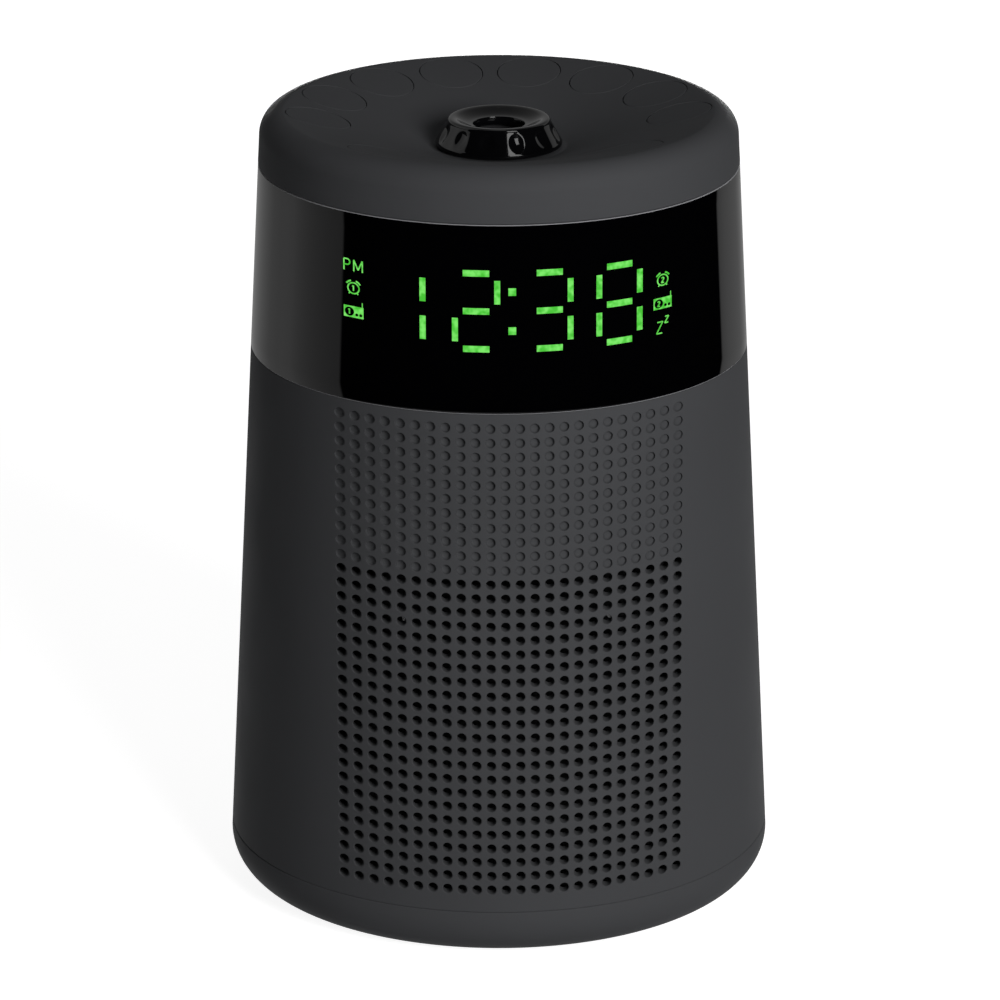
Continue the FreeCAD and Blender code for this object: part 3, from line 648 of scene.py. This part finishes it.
# Lit digits and signs, as thin raised shapes that follow the band
GLYPH_LIFT = 0.03 * MM
GLYPH_SKIN = 0.02 * MM


def on_band(x, z, lift):
    return (x, -math.sqrt((radius_at(z) + lift) ** 2 - x ** 2), z)


class Glyphs:
    """Collects flat shapes, given in the display's own X and Z, and wraps them on the band."""

    def __init__(self, layer=1):
        self.verts, self.faces = [], []
        self.lift = GLYPH_LIFT * layer

    def strip(self, left, right):
        """A ribbon between two lists of (x, z) points, closed at both ends."""
        start = len(self.verts)
        count = len(left)
        for lift in (self.lift, self.lift - GLYPH_SKIN):
            for points in (left, right):
                for x, z in points:
                    self.verts.append(on_band(x, z, lift))
        a, b, c, d = (start + k * count for k in range(4))
        for k in range(count - 1):
            self.faces.append([a + k, b + k, b + k + 1, a + k + 1])
            self.faces.append([c + k, c + k + 1, d + k + 1, d + k])
            self.faces.append([a + k, a + k + 1, c + k + 1, c + k])
            self.faces.append([b + k, d + k, d + k + 1, b + k + 1])
        self.faces.append([a, c, d, b])
        self.faces.append([a + count - 1, b + count - 1, d + count - 1, c + count - 1])

    def bar(self, x0, z0, x1, z1, width, steps=6):
        """A straight stroke with square ends."""
        length = math.hypot(x1 - x0, z1 - z0)
        ux, uz = (x1 - x0) / length, (z1 - z0) / length
        half = width / 2
        left, right = [], []
        for k in range(steps + 1):
            cx, cz = x0 + (x1 - x0) * k / steps, z0 + (z1 - z0) * k / steps
            left.append((cx - uz * half, cz + ux * half))
            right.append((cx + uz * half, cz - ux * half))
        self.strip(left, right)

    def path(self, points, width):
        for (x0, z0), (x1, z1) in zip(points, points[1:]):
            self.bar(x0, z0, x1, z1, width, 2)

    def ring(self, cx, cz, radius, width, start=0, end=360, steps=24):
        left = arc(cx, cz, radius - width / 2, start, end, steps)
        right = arc(cx, cz, radius + width / 2, start, end, steps)
        self.strip(left, right)

    def disc(self, cx, cz, radius, steps=20):
        """A round spot, as a strip between its upper and lower halves."""
        upper, lower = [], []
        for k in range(steps + 1):
            turn = math.pi - math.pi * k / steps
            x, rise = radius * math.cos(turn), radius * max(math.sin(turn), 0.01)
            upper.append((cx + x, cz + rise))
            lower.append((cx + x, cz - rise))
        self.strip(upper, lower)


# A digit is drawn as seven separate windows: lying ones on the middle line and standing ones at the sides.
# Lying and standing windows are given by length and width.
DIGIT_SIDE = 3.8 * MM
DIGIT_RISE = 7.0 * MM
LYING = (4.75 * MM, 1.18 * MM)
STANDING = (4.35 * MM, 1.08 * MM)
COLON = 1.4 * MM
DIGIT_MID_Z = BAND_Z + 19.2 * MM
SEGMENTS = {"1": "bc", "2": "abged", "3": "abgcd", "8": "abcdefg"}
SHOWN_DIGITS = (("1", -19.85 * MM), ("2", -6.5 * MM), ("3", 6.8 * MM), ("8", 19.7 * MM))
COLON_Z = (BAND_Z + 22.8 * MM, BAND_Z + 15.6 * MM)

# Signs at both sides of the digits
SIGN_STROKE = 0.24 * MM
LEFT_SIGNS_X = -28.3 * MM
RIGHT_SIGNS_X = 27.9 * MM
ALARM_R = 1.0 * MM
ALARM_NUMBER = 1.0 * MM
RADIO_HALF = (1.75 * MM, 1.05 * MM)
RADIO_DIAL_X = -0.75 * MM
RADIO_DIAL_R = 0.82 * MM
RADIO_NUMBER = 0.95 * MM
RADIO_KNOBS_X = (0.55 * MM, 1.25 * MM)
RADIO_KNOB_Z = -0.45 * MM
RADIO_KNOB_R = 0.27 * MM
LETTER_HALF = 1.05 * MM
P_LEFT = -1.65 * MM
M_MIDDLE = 0.85 * MM
M_HALF = 0.75 * MM
SLEEP_LARGE = (-0.55 * MM, -0.3 * MM, 0.6 * MM, 1.05 * MM)
SLEEP_SMALL = (0.8 * MM, 1.0 * MM, 0.38 * MM, 0.6 * MM)


def add_digit(glyphs, symbol, cx):
    for name in SEGMENTS[symbol]:
        if name in "agd":
            z = DIGIT_MID_Z + {"a": 1, "g": 0, "d": -1}[name] * DIGIT_RISE
            length, width = LYING
            glyphs.bar(cx - length / 2, z, cx + length / 2, z, width)
        else:
            x = cx + (DIGIT_SIDE if name in "bc" else -DIGIT_SIDE)
            z = DIGIT_MID_Z + (1 if name in "fb" else -1) * DIGIT_RISE / 2
            length, width = STANDING
            glyphs.bar(x, z - length / 2, x, z + length / 2, width)


def add_number(glyphs, symbol, cx, cz, height):
    """A small 1 or 2 inside a sign."""
    h, w = height / 2, height * 0.25
    if symbol == "1":
        places = [(-0.8, 0.6), (0, 1), (0, -1)]
    else:
        places = [(-1, 0.6), (0, 1), (1, 0.5), (-1, -1), (1, -1)]
    glyphs.path([(cx + w * x, cz + h * z) for x, z in places], SIGN_STROKE)


def add_alarm_sign(glyphs, symbol, cx, cz):
    """A ring with two bells and two feet round its number."""
    r = ALARM_R
    glyphs.ring(cx, cz, r, SIGN_STROKE)
    add_number(glyphs, symbol, cx, cz, ALARM_NUMBER)
    for side in (-1, 1):
        middle = 90 - side * 38
        glyphs.ring(cx, cz, r * 1.42, SIGN_STROKE * 1.2, middle - 20, middle + 20, 8)
        heel, toe = (cx + side * r * 0.62, cz - r * 0.82), (cx + side * r * 0.82, cz - r * 1.1)
        glyphs.bar(*heel, *toe, SIGN_STROKE, 2)


def add_radio_sign(lit, dark, top, symbol, cx, cz):
    """A filled box with an aerial, and on it a dark dial with its number and two dark knobs."""
    w, h = RADIO_HALF
    lit.bar(cx - w, cz, cx + w, cz, 2 * h, 12)
    lit.bar(cx + w * 0.88, cz + h, cx + w * 0.88, cz + h * 1.8, SIGN_STROKE * 0.7, 2)
    dark.disc(cx + RADIO_DIAL_X, cz, RADIO_DIAL_R)
    for x in RADIO_KNOBS_X:
        dark.disc(cx + x, cz + RADIO_KNOB_Z, RADIO_KNOB_R, 10)
    add_number(top, symbol, cx + RADIO_DIAL_X, cz, RADIO_NUMBER)


def add_pm_sign(glyphs, cx, cz):
    """The letters P and M, for the afternoon."""
    low, high = cz - LETTER_HALF, cz + LETTER_HALF
    left, middle = cx + P_LEFT, cx + M_MIDDLE
    bowl = LETTER_HALF * 0.5
    glyphs.path([(left, low), (left, high), (left + bowl, high)], SIGN_STROKE)
    glyphs.ring(left + bowl, high - bowl, bowl, SIGN_STROKE, -90, 90, 12)
    glyphs.path([(left + bowl, high - 2 * bowl), (left, high - 2 * bowl)], SIGN_STROKE)
    points = [(middle - M_HALF, low), (middle - M_HALF, high), (middle, cz - LETTER_HALF * 0.7)]
    glyphs.path(points + [(middle + M_HALF, high), (middle + M_HALF, low)], SIGN_STROKE)


def add_sleep_sign(glyphs, cx, cz):
    """A Z with a smaller one raised beside it."""
    for right, up, w, h in (SLEEP_LARGE, SLEEP_SMALL):
        places = [(-0.8, 1), (1, 1), (-1, -1), (0.8, -1)]
        glyphs.path([(cx + right + w * x, cz + up + h * z) for x, z in places], SIGN_STROKE)


def build_digits():
    lit, dark, top = Glyphs(1), Glyphs(2), Glyphs(3)
    for symbol, cx in SHOWN_DIGITS:
        add_digit(lit, symbol, cx)
    for z in COLON_Z:
        lit.bar(-COLON / 2, z, COLON / 2, z, COLON)
    add_pm_sign(lit, LEFT_SIGNS_X, BAND_Z + 25.3 * MM)
    add_alarm_sign(lit, "1", LEFT_SIGNS_X, BAND_Z + 21.1 * MM)
    add_radio_sign(lit, dark, top, "1", LEFT_SIGNS_X, BAND_Z + 16.7 * MM)
    add_alarm_sign(lit, "2", RIGHT_SIGNS_X, BAND_Z + 21.9 * MM)
    add_radio_sign(lit, dark, top, "2", RIGHT_SIGNS_X, BAND_Z + 17.6 * MM)
    add_sleep_sign(lit, RIGHT_SIGNS_X, BAND_Z + 13.4 * MM)
    for name, glyphs, material, slot in (
        ("display_digits", lit, DIGITS, "led_green"),
        ("display_sign_masks", dark, SMOKED, "smoked_gloss"),
        ("display_sign_numbers", top, DIGITS, "led_green"),
    ):
        obj = piece(name, glyphs.verts, glyphs.faces, material, "housing")
        fix_normals(obj)


# Top cap
def snooze_outline(grow, steps=48):
    """Points round the snooze bar and, for each, the spine point that it belongs to."""
    outer, inner = SNOOZE_OUTER + grow, SNOOZE_INNER - grow
    middle, end = (SNOOZE_OUTER + SNOOZE_INNER) / 2, (SNOOZE_OUTER - SNOOZE_INNER) / 2
    half = SNOOZE_HALF - end / middle
    outline, spine = [], []

    def polar(r, turn):
        return r * math.sin(turn), -r * math.cos(turn)

    def add(r, turn):
        outline.append(polar(r, turn))
        spine.append(polar(middle, turn))

    def add_round_end(turn, start):
        x, y = polar(middle, turn)
        start += math.atan2(y, x)
        for k in range(1, SNOOZE_END_STEPS):
            a = start + math.pi * k / SNOOZE_END_STEPS
            outline.append((x + (end + grow) * math.cos(a), y + (end + grow) * math.sin(a)))
            spine.append((x, y))

    for k in range(steps + 1):
        add(outer, -half + 2 * half * k / steps)
    add_round_end(half, 0)
    for k in range(steps + 1):
        add(inner, half - 2 * half * k / steps)
    add_round_end(-half, math.pi)
    return outline, spine


def key_centres():
    places = []
    for k in range(1, 9):
        low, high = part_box("key_%d" % k)
        turn = math.atan2((low.y + high.y) / 2, (low.x + high.x) / 2)
        places.append((k, KEY_RING_R * math.cos(turn), KEY_RING_R * math.sin(turn)))
    return places


def build_cap():
    side_top = RIM_Z - SHOULDER
    crest = radius_at(side_top) - SHOULDER
    inner = radius_at(CAP_Z) - CAP_FOOT_INNER
    foot_z = CAP_Z - CAP_FOOT_DROP
    profile = arc(radius_at(CAP_Z) - CAP_EDGE, CAP_Z + CAP_EDGE, CAP_EDGE, -90, 0, 4)
    profile += [(radius_at(CAP_Z + CAP_CHEEK), CAP_Z + CAP_CHEEK)]
    profile += arc(crest, side_top, SHOULDER, 0, 90, 20)
    steps = 40
    radii = [DISH_R + (WELL_R - DISH_R) * k / steps for k in range(steps + 1)]
    profile += [(r, dish_z(r)) for r in radii]
    profile += [
        (CAP_HOLE_R, WELL_Z), (CAP_HOLE_R, WELL_Z - CAP_WALL), (WELL_R, WELL_Z - CAP_WALL),
        (inner, RIM_Z - 2 * CAP_WALL), (inner, foot_z), (inner + CAP_FOOT_WALL, foot_z),
        (inner + CAP_FOOT_WALL, CAP_Z),
    ]
    verts, faces = turned(profile)
    obj = piece("top_cap_skin", verts, faces, BODY, "housing", ["top_cap"])
    fix_normals(obj)
    outlines = [circle(x, y, KEY_R + KEY_GAP, 96) for _, x, y in key_centres()]
    outlines.append(snooze_outline(KEY_GAP)[0])
    cut_with(obj, [prism_cutter(outline, WELL_Z - 2 * CAP_WALL, RIM_Z + MM) for outline in outlines])

    def cap_normal(co):
        r = math.hypot(co.x, co.y)
        if WELL_R * 0.999 < r < DISH_R - 0.05 * MM and abs(co.z - dish_z(r)) < 0.01 * MM:
            return dish_normal(co.x, co.y)
        return None

    smooth(obj, 30, cap_normal)


def flush_button(name, outline, spine, body, node):
    """A button whose top follows the dish, with a small rounded edge and straight sides."""
    count = len(outline)
    verts, faces, rings = [], [], []
    for share in BUTTON_SHARES:
        ring = []
        for (px, py), (sx, sy) in zip(outline, spine):
            x, y = sx + (px - sx) * share, sy + (py - sy) * share
            ring.append((x, y, dish_z(math.hypot(x, y))))
        rings.append(ring)
    for inset, drop in BUTTON_EDGE:
        ring = []
        for (px, py), (sx, sy) in zip(outline, spine):
            length = math.hypot(px - sx, py - sy)
            share = (length - inset * MM) / length
            x, y = sx + (px - sx) * share, sy + (py - sy) * share
            ring.append((x, y, dish_z(math.hypot(x, y)) - drop * MM))
        rings.append(ring)
    for ring in rings:
        verts += ring
    for a in range(len(rings) - 1):
        for k in range(count):
            n = (k + 1) % count
            faces.append([a * count + k, a * count + n, (a + 1) * count + n, (a + 1) * count + k])
    last = (len(rings) - 1) * count
    faces.append([last + k for k in range(count)])
    obj = piece(name, verts, faces, KEYS, body, [node])
    fix_normals(obj)

    def top_normal(co):
        if abs(co.z - dish_z(math.hypot(co.x, co.y))) < 0.001 * MM:
            return dish_normal(co.x, co.y)
        return None

    smooth(obj, 60, top_normal)


def build_buttons():
    for k, x, y in key_centres():
        outline = circle(x, y, KEY_R, 96)
        flush_button("key_%d_cap" % k, outline, [(x, y)] * len(outline), "key_%d" % k, "key_%d" % k)
    outline, spine = snooze_outline(0)
    flush_button("snooze_cap", outline, spine, "snooze", "snooze_bar")


# Focus knob, with an oval finger hollow in each of its twelve sides. The flange is the low ring under them.
FLUTES = 12
FLUTE_HALF = 1.5 * MM
FLUTE_HEIGHT = 0.92
FLUTE_DEPTH = 0.45 * MM
KNOB_TALL = 5.2 * MM
KNOB_BASE_R = 11.8 * MM
KNOB_TOP_R = 9.6 * MM
KNOB_FLANGE = 0.75 * MM
KNOB_STEP = 0.15 * MM
KNOB_SIDE_LOW = 0.95 * MM
KNOB_SIDE_TALL = 3.65 * MM
KNOB_ROUND = 0.6 * MM
KNOB_RIM = 1.4 * MM
KNOB_DISH = 1.2 * MM
KNOB_MOUTH_R = 4.9 * MM
KNOB_ROOF = 2.7 * MM
KNOB_BORE_R = 7.3 * MM
KNOB_NECK_R = 9.2 * MM


def knob_rows():
    """Radius, height and place across the oval hollows, from -1 to 1, of each ring of the knob."""
    z0, z1 = knob_low.z, knob_high.z
    skirt = z1 - KNOB_TALL
    rows = [
        (KNOB_BASE_R - 0.25 * MM, skirt, 1), (KNOB_BASE_R, skirt + 0.2 * MM, 1),
        (KNOB_BASE_R, skirt + KNOB_FLANGE, 1),
    ]
    side = 20
    side_r = KNOB_BASE_R - KNOB_STEP
    for k in range(side + 1):
        t = k / side
        z = skirt + KNOB_SIDE_LOW + t * KNOB_SIDE_TALL
        rows.append((side_r - (side_r - KNOB_TOP_R) * t, z, (2 * t - 1) / FLUTE_HEIGHT))
    rows += [(r, z, 1) for r, z in arc(KNOB_TOP_R - KNOB_ROUND, z1 - KNOB_ROUND, KNOB_ROUND, 10, 90, 6)]
    dish = 8
    dish_r = KNOB_TOP_R - KNOB_RIM
    for k in range(dish + 1):
        t = k / dish
        rows.append((dish_r - (dish_r - KNOB_MOUTH_R) * t, z1 - KNOB_DISH * math.sin(t * math.pi / 2), 1))
    mouth_r = KNOB_MOUTH_R - 0.1 * MM
    roof = z1 - KNOB_ROOF
    rows += [
        (mouth_r, z1 - KNOB_DISH - KNOB_STEP, 1), (mouth_r, roof, 1), (KNOB_BORE_R, roof, 1),
        (KNOB_BORE_R, z0, 1), (KNOB_NECK_R, z0, 1), (KNOB_NECK_R, skirt, 1),
    ]
    return rows


def build_knob():
    rows = knob_rows()
    steps = FLUTES * 24
    verts, faces = [], []
    pitch = 2 * math.pi / FLUTES
    for r, z, across in rows:
        for k in range(steps):
            turn = 2 * math.pi * (k + 0.5) / steps
            along = (turn % pitch - pitch / 2) * r / FLUTE_HALF
            cut = FLUTE_DEPTH * max(0.0, 1 - along ** 2 - across ** 2)
            verts.append(((r - cut) * math.cos(turn), (r - cut) * math.sin(turn), z))
    count = len(rows)
    for a in range(count):
        b = (a + 1) % count
        for k in range(steps):
            n = (k + 1) % steps
            faces.append([a * steps + k, a * steps + n, b * steps + n, b * steps + k])
    obj = piece("focus_knob_skin", verts, faces, KNOB, "knob", ["focus_knob"])
    fix_normals(obj)
    smooth(obj, 50)


def build_projection_lens():
    low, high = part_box("projection_lens")
    radius = high.x
    rim = low.z + (high.z - low.z) * 0.6
    curve = (radius ** 2 + (high.z - rim) ** 2) / (2 * (high.z - rim))
    half = math.degrees(math.asin(radius / curve))
    profile = [(0, low.z), (radius, low.z)]
    profile += arc(0, high.z - curve, curve, 90 - half, 90, 16)
    verts, faces = turned(profile, 128)
    obj = piece("projection_lens_glass", verts, faces, OPTIC, "lens", ["projection_lens"])
    fix_normals(obj)
    smooth(obj, 40)


# Studio
CAMERA_TURN = -3.0
CAMERA_AWAY = 1.0291
CAMERA_Z = 0.4209
TARGET_Z = 0.0706
LENS_MM = 205.24
SENSOR_MM = 36
CAMERA_SHIFT = (0.00103, 0.01795)

# Place, size and power of each light
LIGHTS = (
    ("key_light", (0.50, -1.09, 0.54), (0.5, 0.5), 15.5),
    ("top_light", (0.1, 0.1, 1.1), (0.7, 0.7), 0.8),
    ("back_light", (0.1, 1.2, 0.08), (0.6, 0.1), 9),
)
LIGHT_AIM = Vector((0, 0, 0.08))
WORLD_LEVEL = 0.03

# A ring round the object that only the reflections see: dark in front, so that the band looks black there,
# and pale at the sides, as a studio's walls are. Each row is an angle from the front, right being positive,
# and the brightness there. The steps at -75 and 115 degrees are the edges of the dark front.
RING_TONES = (
    (-90, 1.0), (-75.2, 1.0), (-74.8, 0.0), (114.6, 0.0), (115.4, 0.62), (121, 0.6), (131, 0.44),
    (140, 0.32), (200, 0.31), (232, 0.5), (240, 0.65), (246, 0.84), (252, 1.0), (270, 1.0),
)
RING_RADIUS = 0.30
RING_HEIGHT = 2.0
FLOOR_HALF = 3.0
FLOOR_TONE = 0.55
FLOOR_LIFT = 0.90

# A bright card inside the ring, right of the front and above the band's reflections, which gives the knob
# its highlight
SOFTBOX_ANGLES = (17, 40)
SOFTBOX_HEIGHTS = (0.24, 0.46)
SOFTBOX_STRENGTH = 9.0


def build_camera():
    turn = math.radians(CAMERA_TURN)
    place = Vector((math.sin(turn) * CAMERA_AWAY, -math.cos(turn) * CAMERA_AWAY, CAMERA_Z))
    camera = bpy.data.cameras.new("camera")
    camera.lens = LENS_MM
    camera.sensor_width = SENSOR_MM
    camera.shift_x, camera.shift_y = CAMERA_SHIFT
    camera.clip_start = 0.01
    obj = bpy.data.objects.new("camera", camera)
    bpy.context.scene.collection.objects.link(obj)
    obj.location = place
    aim = Vector((0, 0, TARGET_Z)) - place
    obj.rotation_euler = aim.to_track_quat("-Z", "Y").to_euler()
    bpy.context.scene.camera = obj


def area_light(name, place, size, power):
    light = bpy.data.lights.new(name, "AREA")
    light.shape = "RECTANGLE"
    light.size, light.size_y = size
    light.energy = power
    obj = bpy.data.objects.new(name, light)
    bpy.context.scene.collection.objects.link(obj)
    obj.location = place
    obj.rotation_euler = (LIGHT_AIM - Vector(place)).to_track_quat("-Z", "Y").to_euler()


def seen_factor(nodes, links):
    """1 for camera, glossy and transmission rays, and 0 for the rest."""
    path = nodes.new("ShaderNodeLightPath")
    first = nodes.new("ShaderNodeMath")
    second = nodes.new("ShaderNodeMath")
    for node in (first, second):
        node.operation = "MAXIMUM"
    links.new(path.outputs["Is Camera Ray"], first.inputs[0])
    links.new(path.outputs["Is Glossy Ray"], first.inputs[1])
    links.new(first.outputs[0], second.inputs[0])
    links.new(path.outputs["Is Transmission Ray"], second.inputs[1])
    return second.outputs[0]


def background_world(level):
    """White to the camera and in reflections, and a dim even light for the rest."""
    world = bpy.data.worlds.new("studio")
    bpy.context.scene.world = world
    world.use_nodes = True
    nodes, links = world.node_tree.nodes, world.node_tree.links
    nodes.clear()
    dim = nodes.new("ShaderNodeBackground")
    white = nodes.new("ShaderNodeBackground")
    for node, strength in ((dim, level), (white, 1.0)):
        node.inputs["Color"].default_value = (1, 1, 1, 1)
        node.inputs["Strength"].default_value = strength
    mix = nodes.new("ShaderNodeMixShader")
    out = nodes.new("ShaderNodeOutputWorld")
    links.new(seen_factor(nodes, links), mix.inputs[0])
    links.new(dim.outputs[0], mix.inputs[1])
    links.new(white.outputs[0], mix.inputs[2])
    links.new(mix.outputs[0], out.inputs["Surface"])


def floor_material():
    """Pale floor that looks white where it is lit and keeps the shadow. It can be seen through from below."""
    mat = bpy.data.materials.new("floor")
    mat.use_nodes = True
    nodes, links = mat.node_tree.nodes, mat.node_tree.links
    nodes.clear()
    pale = nodes.new("ShaderNodeBsdfDiffuse")
    pale.inputs["Color"].default_value = (FLOOR_TONE, FLOOR_TONE, FLOOR_TONE, 1)
    lift = nodes.new("ShaderNodeEmission")
    lift.inputs["Strength"].default_value = FLOOR_LIFT
    nothing = nodes.new("ShaderNodeEmission")
    nothing.inputs["Strength"].default_value = 0.0
    mix = nodes.new("ShaderNodeMixShader")
    add = nodes.new("ShaderNodeAddShader")
    side = nodes.new("ShaderNodeNewGeometry")
    clear = nodes.new("ShaderNodeBsdfTransparent")
    both = nodes.new("ShaderNodeMixShader")
    out = nodes.new("ShaderNodeOutputMaterial")
    links.new(seen_factor(nodes, links), mix.inputs[0])
    links.new(nothing.outputs[0], mix.inputs[1])
    links.new(lift.outputs[0], mix.inputs[2])
    links.new(pale.outputs[0], add.inputs[0])
    links.new(mix.outputs[0], add.inputs[1])
    links.new(side.outputs["Backfacing"], both.inputs[0])
    links.new(add.outputs[0], both.inputs[1])
    links.new(clear.outputs[0], both.inputs[2])
    links.new(both.outputs[0], out.inputs["Surface"])
    return mat


def stage_plane(name, verts, faces, material):
    mesh = bpy.data.meshes.new(name)
    mesh.from_pydata(verts, [], faces)
    obj = bpy.data.objects.new(name, mesh)
    bpy.context.scene.collection.objects.link(obj)
    obj.data.materials.append(material)
    return obj


def ring_material():
    """Light whose brightness follows the angle round the object, from RING_TONES."""
    mat = bpy.data.materials.new("studio_ring")
    mat.use_nodes = True
    nodes, links = mat.node_tree.nodes, mat.node_tree.links
    nodes.clear()
    where = nodes.new("ShaderNodeTexCoord")
    turn = nodes.new("ShaderNodeTexGradient")
    turn.gradient_type = "RADIAL"
    ramp = nodes.new("ShaderNodeValToRGB")
    stops = ramp.color_ramp.elements
    while len(stops) > 1:
        stops.remove(stops[-1])
    for k, (angle, tone) in enumerate(RING_TONES):
        stop = stops.new((angle + 90) / 360) if k else stops[0]
        stop.position = (angle + 90) / 360
        stop.color = (tone, tone, tone, 1)
    shine = nodes.new("ShaderNodeEmission")
    shine.inputs["Strength"].default_value = 1.0
    out = nodes.new("ShaderNodeOutputMaterial")
    links.new(where.outputs["Object"], turn.inputs["Vector"])
    links.new(turn.outputs["Fac"], ramp.inputs["Fac"])
    links.new(ramp.outputs["Color"], shine.inputs["Color"])
    links.new(shine.outputs[0], out.inputs["Surface"])
    return mat


def only_reflected(obj):
    """Hides a stage piece from everything but reflections."""
    obj.visible_camera = False
    obj.visible_diffuse = False
    obj.visible_shadow = False
    obj.visible_transmission = False


def build_stage():
    half = FLOOR_HALF
    corners = [(-half, -half, 0), (half, -half, 0), (half, half, 0), (-half, half, 0)]
    stage_plane("floor", corners, [[0, 1, 2, 3]], floor_material())
    steps = 180
    verts = [(x, y, z) for z in (0.001, RING_HEIGHT) for x, y in circle(0, 0, RING_RADIUS, steps)]
    faces = [[k, (k + 1) % steps, steps + (k + 1) % steps, steps + k] for k in range(steps)]
    only_reflected(stage_plane("studio_ring", verts, faces, ring_material()))
    bright, shader = principled("softbox", (0.0, 0.0, 0.0), 1.0, specular=0.0)
    shader.inputs["Emission Color"].default_value = (1, 1, 1, 1)
    shader.inputs["Emission Strength"].default_value = SOFTBOX_STRENGTH
    away = RING_RADIUS - 0.01
    left, right = (math.radians(angle) for angle in SOFTBOX_ANGLES)
    low, high = SOFTBOX_HEIGHTS
    corners = ((left, low), (right, low), (right, high), (left, high))
    verts = [(away * math.sin(turn), -away * math.cos(turn), z) for turn, z in corners]
    only_reflected(stage_plane("softbox", verts, [[0, 1, 2, 3]], bright))


def build_lights():
    for name, place, size, power in LIGHTS:
        area_light(name, place, size, power)
    background_world(WORLD_LEVEL)


def build():
    dress_nodes()
    build_shell()
    build_base()
    build_band()
    build_digits()
    build_cap()
    build_buttons()
    build_knob()
    build_projection_lens()
    build_camera()
    build_lights()
    build_stage()
    bpy.context.scene.view_settings.view_transform = "Standard"


build()
bpy.context.view_layer.update()
